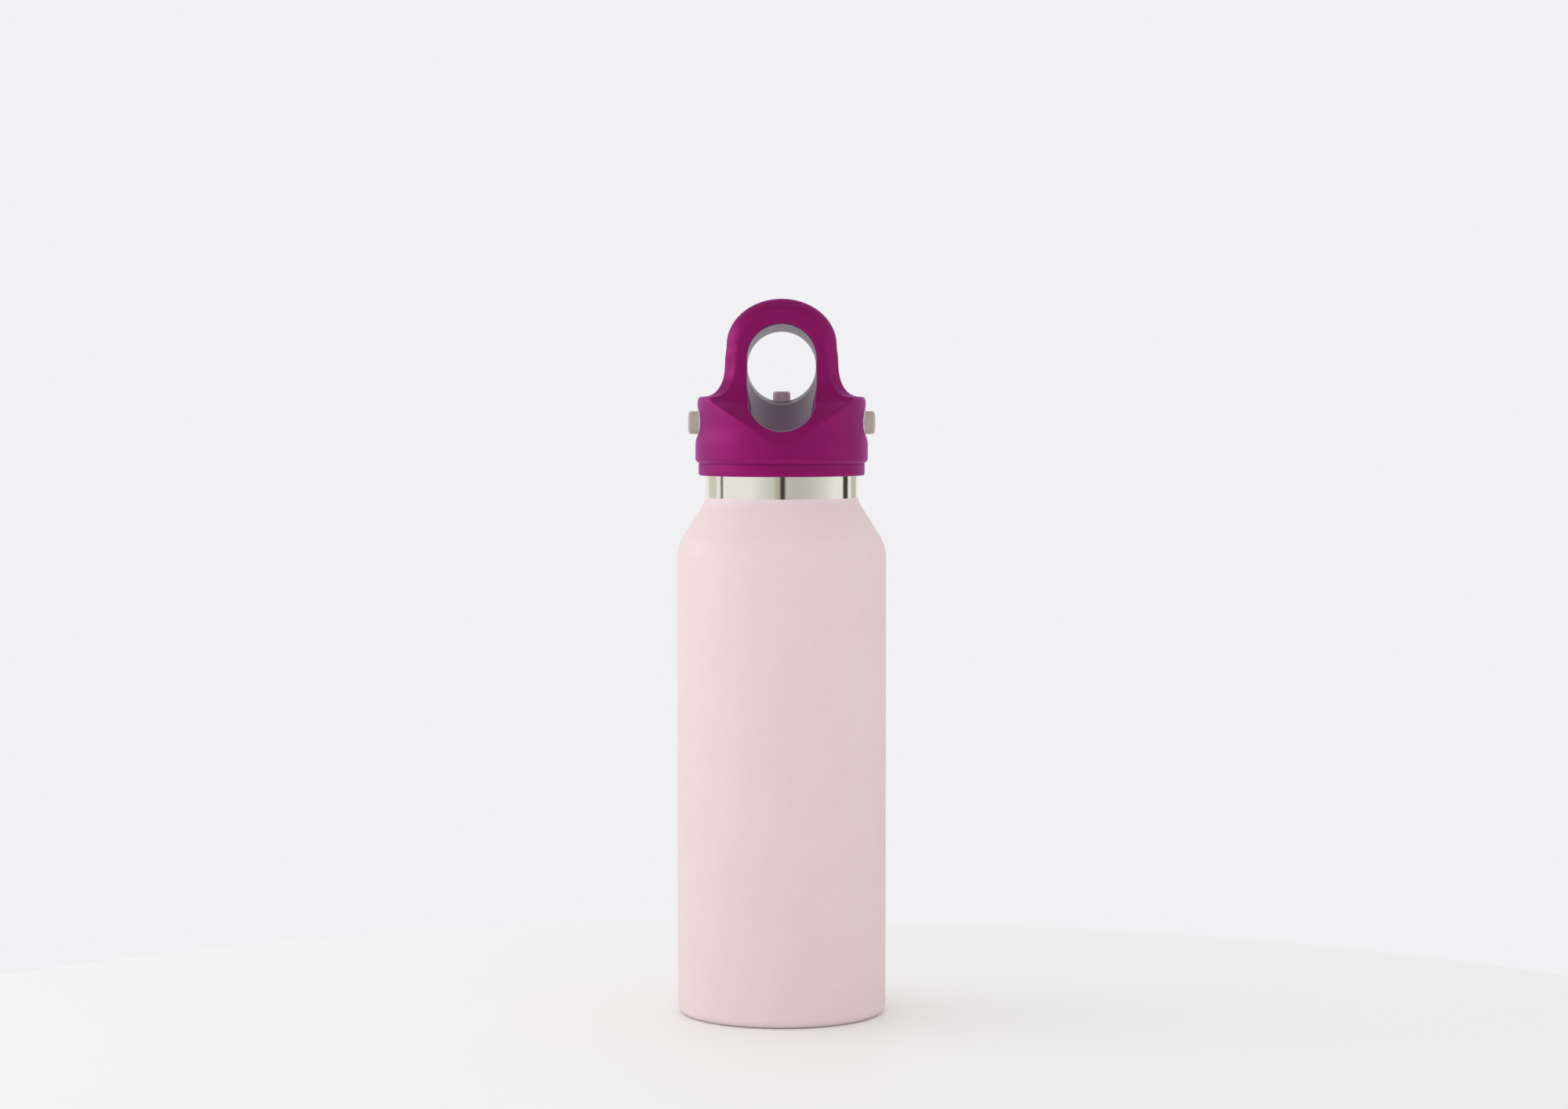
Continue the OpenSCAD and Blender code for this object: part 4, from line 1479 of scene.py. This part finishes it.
@dataclass
class SideButton:
    """A side button with its collar in the lid and the latch that it bends."""

    side: Side
    outer: float
    inner: float
    middle: float
    collar_in: float
    collar_out: float
    # Button
    size: Flat = (13.0 * MM, 8.0 * MM)
    rim: float = 1.0 * MM
    crown: float = 0.12 * MM
    pusher: Flat = (3.0 * MM, 2.5 * MM)
    pusher_in: float = 0.5 * MM
    flange_over: float = 0.5 * MM
    flange_t: float = 1.2 * MM
    flange_out: float = 25.8 * MM
    # Collar
    gap: float = 0.15 * MM
    collar_t: float = 0.6 * MM
    collar_rim: float = 0.25 * MM
    # Latch and the hole for its screw
    seat_z: float = 183.0 * MM
    nose_z: float = 192.5 * MM
    nose_x: float = 23.9 * MM
    nose_tip: float = 0.6 * MM
    nose_up: float = 3.4 * MM
    nose_down: float = 3.6 * MM
    cup_r: float = 20.8 * MM
    arm_in: float = 1.2 * MM
    latch_t: float = 0.6 * MM
    latch_w: float = 9.0 * MM
    latch_edge: float = 0.12 * MM
    latch_foot: tuple[Flat, ...] = ((9.4 * MM, 0.0), (2.6 * MM, 0.0), (1.7 * MM, 0.7 * MM),
                                    (1.4 * MM, 2.0 * MM))
    screw_in: float = 6.0 * MM
    screw_r: float = 1.15 * MM
    screw_span: Flat = (-1.0 * MM, 3.0 * MM)

    @classmethod
    def from_frame(cls, side: Side) -> "SideButton":
        """Take the button's places from the frame.

        Args:
            side: Which button.

        Returns:
            The button.
        """
        low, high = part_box("right_button")
        collar_low, collar_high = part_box("right_collar")
        return cls(side=side, outer=high[0], inner=low[0], middle=(low[2] + high[2]) / 2,
                   collar_in=collar_low[0], collar_out=collar_high[0])

    @property
    def arm(self) -> float:
        """How far the latch's upright arm stands from the axis."""
        return self.cup_r - self.arm_in

    def pill(self, name: str, inner: float, outer: float, grow: float, rim: float) -> Piece:
        """A pill of the button's size, grown all round."""
        size = (self.size[0] + 2.0 * grow, self.size[1] + 2.0 * grow)
        return Bench.pill(name, inner, outer, size, self.middle, rim)

    def cap(self) -> Piece:
        """Model the button with its soft rim, slightly crowned face, flange and pusher.

        Returns:
            The finished mesh.
        """
        back = self.flange_out - self.flange_t
        piece = self.pill(f"{self.side.word}_push_button", back, self.outer - self.crown, 0.0, self.rim)
        Bench.edit(piece)
        Bench.select(piece, Kind.FACE, lambda middle, normal: normal.x > 0.999 and middle.x > self.flange_out)
        bpy.ops.mesh.inset(thickness=1.1 * self.rim, depth=self.crown)
        Bench.tidy()
        flange = self.pill("flange", back, self.flange_out, self.flange_over, 0.0)
        half, rise = self.pusher
        low = (self.inner, -half, self.middle - rise)
        high = (back + self.pusher_in, half, self.middle + rise)
        Bench.join(piece, Join.FUSE, flange, Bench.block("pusher", low, high))
        return Bench.shade(Bench.flip(piece, self.side), 30.0)

    def collar(self) -> Piece:
        """Model the pale collar that guides the button.

        Returns:
            The finished mesh.
        """
        piece = self.pill(f"{self.side.word}_button_collar", self.collar_in, self.collar_out,
                          self.gap + self.collar_t, self.collar_rim)
        bore = self.pill("bore", self.collar_in - MM, self.collar_out + MM, self.gap, 0.0)
        Bench.join(piece, Join.CUT, bore)
        reach = 2.0 * self.size[1]
        Bench.join(piece, Join.KEEP, Bench.drum("trim", self.collar_out, (0.0, 0.0, self.middle - reach),
                                                (0.0, 0.0, self.middle + reach), 192))
        return Bench.shade(Bench.flip(piece, self.side), 30.0)

    def latch_path(self) -> list[Flat]:
        """The bent line of the latch, from its foot to its upper end.

        Returns:
            Points of X and Z.
        """
        foot, root = self.seat_z + self.latch_t / 2, self.cup_r
        x, z, tip = self.nose_x, self.nose_z, self.nose_tip
        start, head = z + self.nose_up, self.middle + self.pusher[1]
        points = [(root - back, foot + up) for back, up in self.latch_foot]
        points += [(self.arm, z - self.nose_down), (x - tip, z - tip), (x, z), (x - tip, z + tip)]
        return points + [(self.arm, start + (head - start) * i / 8) for i in range(9)]

    def latch(self) -> Piece:
        """Model the latch as a line that is drawn into a strip and given its thickness.

        Returns:
            The finished mesh.
        """
        half = self.latch_w / 2
        piece = Bench.line(f"{self.side.word}_leaf_latch", [(x, -half, z) for x, z in self.latch_path()])
        bpy.ops.mesh.extrude_region_move(TRANSFORM_OT_translate={"value": (0.0, self.latch_w, 0.0)})
        Bench.tidy()
        Bench.apply(piece, "SOLIDIFY", thickness=self.latch_t, offset=0.0, use_even_offset=True)
        Bench.apply(piece, "BEVEL", width=self.latch_edge, segments=2, limit_method="ANGLE",
                    angle_limit=math.radians(60.0))
        x = self.cup_r - self.screw_in
        low, high = (self.seat_z + up for up in self.screw_span)
        hole = Bench.drum("hole", self.screw_r, (x, 0.0, low), (x, 0.0, high), 32)
        Bench.join(piece, Join.CUT, hole)
        return Bench.shade(Bench.flip(piece, self.side), 30.0)

    def build(self, paint: Paint) -> None:
        """Model the button's pieces and dress them.

        Args:
            paint: The finishes.
        """
        word = self.side.word
        paint.dress(self.cap(), f"{word}_button", f"{word}_button")
        paint.dress(self.collar(), f"{word}_collar", "lid")
        latch = paint.dress(self.latch(), f"{word}_latch")
        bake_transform(latch)


@dataclass
class Vent:
    """The vent: button behind the ring, its collar, and the spring that lifts it."""

    y: float
    top: float
    bottom: float
    collar_low: float
    collar_high: float
    spring_low: float
    spring_high: float
    dome: Flat
    dome_r: float
    # Button and the seat of its rod
    button_r: float = 3.1 * MM
    button_round: float = 0.9 * MM
    dish: tuple[Flat, ...] = ((1.6 * MM, 0.08 * MM), (0.8 * MM, 0.13 * MM), (0.0, 0.15 * MM))
    flange: float = 1.3 * MM
    flange_t: float = 1.5 * MM
    rod_r: float = 1.5 * MM
    rod_in: float = 4.0 * MM
    rod_fit: float = 0.02 * MM
    # Collar
    gap: float = 0.15 * MM
    collar_t: float = 0.6 * MM
    collar_round: float = 0.25 * MM
    collar_sink: float = 0.5 * MM
    collar_proud: float = 0.3 * MM
    collar_bevel: float = 0.3 * MM
    # Spring
    coil_r: float = 2.9 * MM
    wire: float = 0.4 * MM
    turns: int = 6

    @classmethod
    def from_frame(cls, lid: Lid) -> "Vent":
        """Take the vent's places from the frame, and the slope round it from the lid.

        Args:
            lid: The lid that the vent sits in.

        Returns:
            The vent.
        """
        low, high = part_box("vent_button")
        collar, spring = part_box("vent_collar"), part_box("vent_spring")
        return cls(y=(low[1] + high[1]) / 2, top=high[2], bottom=low[2], collar_low=collar[0][2],
                   collar_high=collar[1][2], spring_low=spring[0][2], spring_high=spring[1][2],
                   dome=(lid.dome_flat, lid.shoulder_z - lid.dome_r), dome_r=lid.dome_r)

    def spun(self, name: str, profile: Sequence[Flat], closed: bool = True) -> Piece:
        """Spin a profile round the vent's own axis."""
        points = [(r, self.y, z) for r, z in profile]
        return Bench.turned(name, points, 72, closed, middle=(0.0, self.y, 0.0))

    def cap(self) -> Piece:
        """Spin the button with its rounded rim, shallow finger dish and flange.

        Returns:
            The finished mesh.
        """
        wide, shelf = self.button_r + self.flange, self.bottom + self.flange_t
        bore, roof, soft = self.rod_r + self.rod_fit, self.bottom + self.rod_in, self.button_round
        profile = [(0.0, roof), (bore, roof), (bore, self.bottom)]
        profile += [(wide, self.bottom), (wide, shelf), (self.button_r, shelf)]
        profile += arc((self.button_r - soft, self.top - soft), soft, 0.0, 90.0, 8)
        profile += [(r, self.top - deep) for r, deep in self.dish]
        piece = self.spun("vent_push_button", profile, closed=False)
        return Bench.shade(piece, 30.0)

    def collar(self) -> Piece:
        """Spin the pale collar round the button and trim it to the slope of the lid.

        Returns:
            The finished mesh.
        """
        inner = self.button_r + self.gap
        outer, soft = inner + self.collar_t, self.collar_round
        high = self.collar_high - self.collar_sink
        profile = [(inner, self.collar_low), (outer, self.collar_low), (outer, high - self.collar_bevel)]
        profile += arc((inner + soft, high - soft), soft, 60.0, 180.0, 6)
        piece = self.spun("vent_button_collar", profile)
        slope = Bench.drum("slope", self.dome_r + self.collar_proud, (-2.0 * outer, *self.dome),
                           (2.0 * outer, *self.dome), 256)
        Bench.join(piece, Join.KEEP, slope)
        return Bench.shade(piece, 30.0)

    def spring(self) -> Piece:
        """Wind the spring: a ring of wire carried round its axis as a screw.

        Returns:
            The finished mesh.
        """
        Bench.clear()
        bpy.ops.mesh.primitive_circle_add(vertices=12, radius=self.wire, rotation=(math.pi / 2, 0.0, 0.0),
                                          location=(self.coil_r, 0.0, 0.0))
        piece = Bench.fresh("vent_coil")
        rise = self.spring_high - self.spring_low - 2.0 * self.wire
        Bench.apply(piece, "SCREW", angle=math.tau, screw_offset=rise / self.turns, iterations=self.turns,
                    steps=28, render_steps=28, use_merge_vertices=False)
        Bench.edit(piece)
        bpy.ops.transform.translate(value=(0.0, self.y, self.spring_low + self.wire))
        bpy.ops.mesh.select_mode(type="EDGE")
        bpy.ops.mesh.select_all(action="DESELECT")
        bpy.ops.mesh.select_non_manifold(extend=False)
        bpy.ops.mesh.fill_holes(sides=12)
        Bench.tidy()
        return Bench.shade(piece, 50.0)

    def build(self, paint: Paint) -> None:
        """Model the vent's pieces and dress them.

        Args:
            paint: The finishes.
        """
        paint.dress(self.cap(), "vent_button", "vent")
        paint.dress(self.collar(), "vent_collar", "lid")
        spring = paint.dress(self.spring(), "vent_spring")
        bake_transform(spring)


@dataclass
class Seals:
    """The soft rings of the stopper: the lipped neck seal and the gasket on the rim."""

    mouth_r: float = 23.0 * MM
    plug_r: float = 22.6 * MM
    neck_r: float = 26.7 * MM
    lips: Flat = (1.3 * MM, 4.5 * MM)
    lip_r: float = 0.4 * MM
    lip_h: float = 1.1 * MM
    root_in: float = 1.15 * MM
    skin_in: float = 0.35 * MM
    mouth_gap: float = 0.15 * MM
    gasket_round: float = 0.3 * MM
    gasket_gap: float = 0.1 * MM
    gasket_in: float = 0.9 * MM

    def neck_seal(self) -> Piece:
        """Spin the seal with its two rounded lips.

        Returns:
            The finished mesh.
        """
        low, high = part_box("neck_seal")
        root, skin = self.plug_r - self.root_in, self.plug_r - self.skin_in
        lip = self.mouth_r - self.mouth_gap
        profile = [(root, low[2]), (skin, low[2])]
        for up in self.lips:
            profile += arc((lip - self.lip_r, low[2] + up), self.lip_r, -80.0, 80.0, 10)
            profile.append((skin, low[2] + up + self.lip_h))
        profile.append((root, high[2]))
        return Bench.shade(Bench.turned("lipped_seal", lathe(profile), 128), 40.0)

    def gasket(self) -> Piece:
        """Spin the flat gasket with rounded edges.

        Returns:
            The finished mesh.
        """
        low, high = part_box("rim_gasket")
        inner, outer = self.plug_r + self.gasket_gap, self.neck_r - self.gasket_in
        soft = self.gasket_round
        profile = []
        for r, z, first in ((outer - soft, low[2] + soft, -90.0), (outer - soft, high[2] - soft, 0.0),
                            (inner + soft, high[2] - soft, 90.0), (inner + soft, low[2] + soft, 180.0)):
            profile += arc((r, z), soft, first, first + 90.0, 5)
        return Bench.shade(Bench.turned("flat_gasket", lathe(profile), 128), 40.0)

    def build(self, paint: Paint) -> None:
        """Model the seals and dress them."""
        paint.dress(self.neck_seal(), "neck_seal", "lid")
        paint.dress(self.gasket(), "rim_gasket", "lid")


@dataclass(frozen=True)
class Card:
    """A card out of the picture for the bare steel to reflect, at degrees from the front to the right."""

    name: str
    azimuth: float
    reach: float
    width: float
    tone: Tone
    height: float = 1.6
    middle: float = 0.3
    rough: float = 0.9

    def stand(self) -> None:
        """Stand the card up facing the bottle, where only reflections show it."""
        turn = math.radians(self.azimuth)
        Bench.clear()
        bpy.ops.mesh.primitive_plane_add(size=1.0)
        card = bpy.context.object
        card.scale = (self.width, self.height, 1.0)
        card.rotation_euler = (math.pi / 2, 0.0, turn)
        card.location = (self.reach * math.sin(turn), -self.reach * math.cos(turn), self.middle)
        Bench.fresh(self.name)
        material, tree, shader = Tree.material(self.name)
        tree.put(shader, "Base Color", linear(*self.tone))
        tree.put(shader, "Roughness", self.rough)
        card.data.materials.append(material)
        card.visible_camera = card.visible_diffuse = card.visible_shadow = False


CARDS: tuple[Card, ...] = (
    Card("card_front", 1.5, 2.2, 0.29, (48, 38, 40)),
    Card("card_front_left", -6.0, 2.2, 0.33, (178, 170, 160)),
    Card("card_left", -101.2, 1.6, 0.15, (88, 90, 72)),
    Card("card_right", 111.3, 1.6, 0.36, (38, 31, 18)),
    Card("card_far_left", -128.0, 1.8, 0.8, (206, 206, 196)),
    Card("card_far_right", 139.0, 1.8, 0.7, (184, 182, 175)),
)


@dataclass
class Studio:
    """The camera at the photograph's place, the pale round table and wall, and the soft light."""

    # Camera
    distance: float = 1.136
    eye: float = 0.2139
    pitch: float = 2.7
    lens: float = 74.7
    shift: float = 0.0015
    sensor: float = 36.0
    # Table
    table_r: float = 0.405
    table_back: float = 0.201
    table_t: float = 0.02
    table_round: float = 0.006
    table_tones: tuple[Tone, Tone] = ((243, 243, 243), (240, 240, 239))
    table_rough: float = 0.6
    table_shine: float = 0.35
    table_glow: float = 0.03
    # Light from all round
    ambient: float = 1.075
    from_left: float = 0.08
    from_above: float = -0.2
    # What a reflection shows of the room
    front_lean: float = 0.35
    front_span: Flat = (-0.435, -1.1)
    front_share: float = 0.64
    back_lift: float = 0.3
    above_span: Flat = (0.25, 0.7)
    wall: Tone = (241, 241, 243)
    room: Tone = (150, 148, 144)
    # Lamp
    lamp_at: Place = (-1.5, 0.1, 0.6)
    lamp_aim: Place = (0.0, 0.0, 0.2)
    lamp_size: Flat = (1.6, 0.56)
    lamp_watts: float = 4.6

    def camera(self) -> None:
        """Set the camera in front of the bottle."""
        Bench.clear()
        bpy.ops.object.camera_add(location=(0.0, -self.distance, self.eye),
                                  rotation=(math.radians(90.0 - self.pitch), 0.0, 0.0))
        camera = bpy.context.object
        camera.data.sensor_width = self.sensor
        camera.data.sensor_fit = "HORIZONTAL"
        camera.data.lens = self.lens
        camera.data.shift_x = self.shift
        camera.data.clip_start = 0.01
        bpy.context.scene.camera = camera

    @staticmethod
    def sight(tree: Tree) -> tuple[Socket, Socket]:
        """Tell what the camera sees from what only lights the scene.

        Args:
            tree: The node tree that asks.

        Returns:
            Whether a ray comes straight from the camera, and whether it comes by way of a reflection.
        """
        path = tree.add("ShaderNodeLightPath").outputs
        bounced = tree.math("MAXIMUM", path["Is Glossy Ray"], path["Is Transmission Ray"])
        return path["Is Camera Ray"], bounced

    def table(self) -> None:
        """Set up the pale round table, whose back edge shows behind the bottle."""
        middle, soft = self.table_back - self.table_r, self.table_round
        profile = [(0.0, -self.table_t), (self.table_r - soft, -self.table_t)]
        profile += arc((self.table_r - soft, -soft), soft, -60.0, 90.0, 8) + [(0.0, 0.0)]
        points = [(r, middle, z) for r, z in profile]
        table = Bench.turned("table", points, 256, closed=False, middle=(0.0, middle, 0.0))
        Bench.shade(table, 40.0)
        material, tree, shader = Tree.material("table_top")
        place = tree.add("ShaderNodeTexCoord").outputs["Object"]
        cloud = tree.add("ShaderNodeTexNoise", Vector=place, Scale=3.0, Detail=3.0)
        light, dark = self.table_tones
        tree.put(shader, "Base Color", tree.blend(cloud.outputs["Fac"], linear(*light), linear(*dark)))
        tree.put(shader, "Roughness", self.table_rough)
        tree.put(shader, "Specular IOR Level", self.table_shine)
        seen = tree.math("MAXIMUM", *self.sight(tree))
        glow = tree.add("ShaderNodeEmission", Strength=tree.math("MULTIPLY", seen, self.table_glow))
        both = tree.add("ShaderNodeAddShader")
        tree.put(both, 0, shader.outputs["BSDF"])
        tree.put(both, 1, glow.outputs["Emission"])
        tree.put(material.node_tree.nodes["Material Output"], "Surface", both.outputs["Shader"])
        table.data.materials.append(material)

    def world(self) -> None:
        """Light from all round, a little more from the left, with a pale wall in the picture.

        A reflection shows that wall too, and a darker room in front and above.
        """
        world = bpy.data.worlds.new("studio")
        bpy.context.scene.world = world
        world.use_nodes = True
        tree = Tree(world.node_tree)
        surface = world.node_tree.nodes["Background"]
        way = tree.add("ShaderNodeSeparateXYZ", Vector=tree.add("ShaderNodeTexCoord").outputs["Generated"])
        x, y, z = way.outputs
        level = tree.math("ADD", self.ambient, tree.weigh(x, -self.from_left, z, self.from_above))
        light = tree.add("ShaderNodeCombineColor", Red=level, Green=level, Blue=level)
        ahead = tree.spread(tree.weigh(y, 1.0, x, -self.front_lean), *self.front_span, 0.0, self.front_share)
        behind = tree.math("MAXIMUM", y, 0.0)
        above = tree.spread(tree.weigh(z, 1.0, behind, -self.back_lift), *self.above_span)
        mirror = tree.blend(tree.math("MAXIMUM", ahead, above), linear(*self.wall), linear(*self.room))
        straight, bounced = self.sight(tree)
        lit = tree.blend(bounced, light.outputs["Color"], mirror)
        tree.put(surface, "Color", tree.blend(straight, lit, linear(*self.wall)))
        surface.inputs["Strength"].default_value = 1.0

    def lamp(self) -> None:
        """Hang one soft lamp on the left, as a window."""
        Bench.clear()
        turn = (Vector(self.lamp_aim) - Vector(self.lamp_at)).to_track_quat("-Z", "Y").to_euler()
        bpy.ops.object.light_add(type="AREA", location=self.lamp_at, rotation=turn)
        lamp = bpy.context.object
        lamp.name = lamp.data.name = "window"
        lamp.data.shape = "RECTANGLE"
        lamp.data.size, lamp.data.size_y = self.lamp_size
        lamp.data.energy = self.lamp_watts
        lamp.visible_camera = False

    def build(self) -> None:
        """Set up the whole studio."""
        self.camera()
        self.table()
        self.world()
        for card in CARDS:
            card.stand()
        self.lamp()


def main() -> None:
    """Build the bottle around the frame and report each piece."""
    logging.basicConfig(level=logging.INFO, format="%(name)s: %(message)s")
    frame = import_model()
    bpy.context.scene.view_settings.view_transform = "Standard"
    paint = Paint(frame["record"])
    Studio().build()
    Flask.from_frame(frame["record"]).build(paint)
    lid = Lid.from_frame()
    lid.build(paint)
    for side in Side:
        SideButton.from_frame(side).build(paint)
    Vent.from_frame(lid).build(paint)
    Seals().build(paint)
    paint.dress_rest(frame["nodes"])
    Bench.clear()


if __name__ == "__main__":
    main()
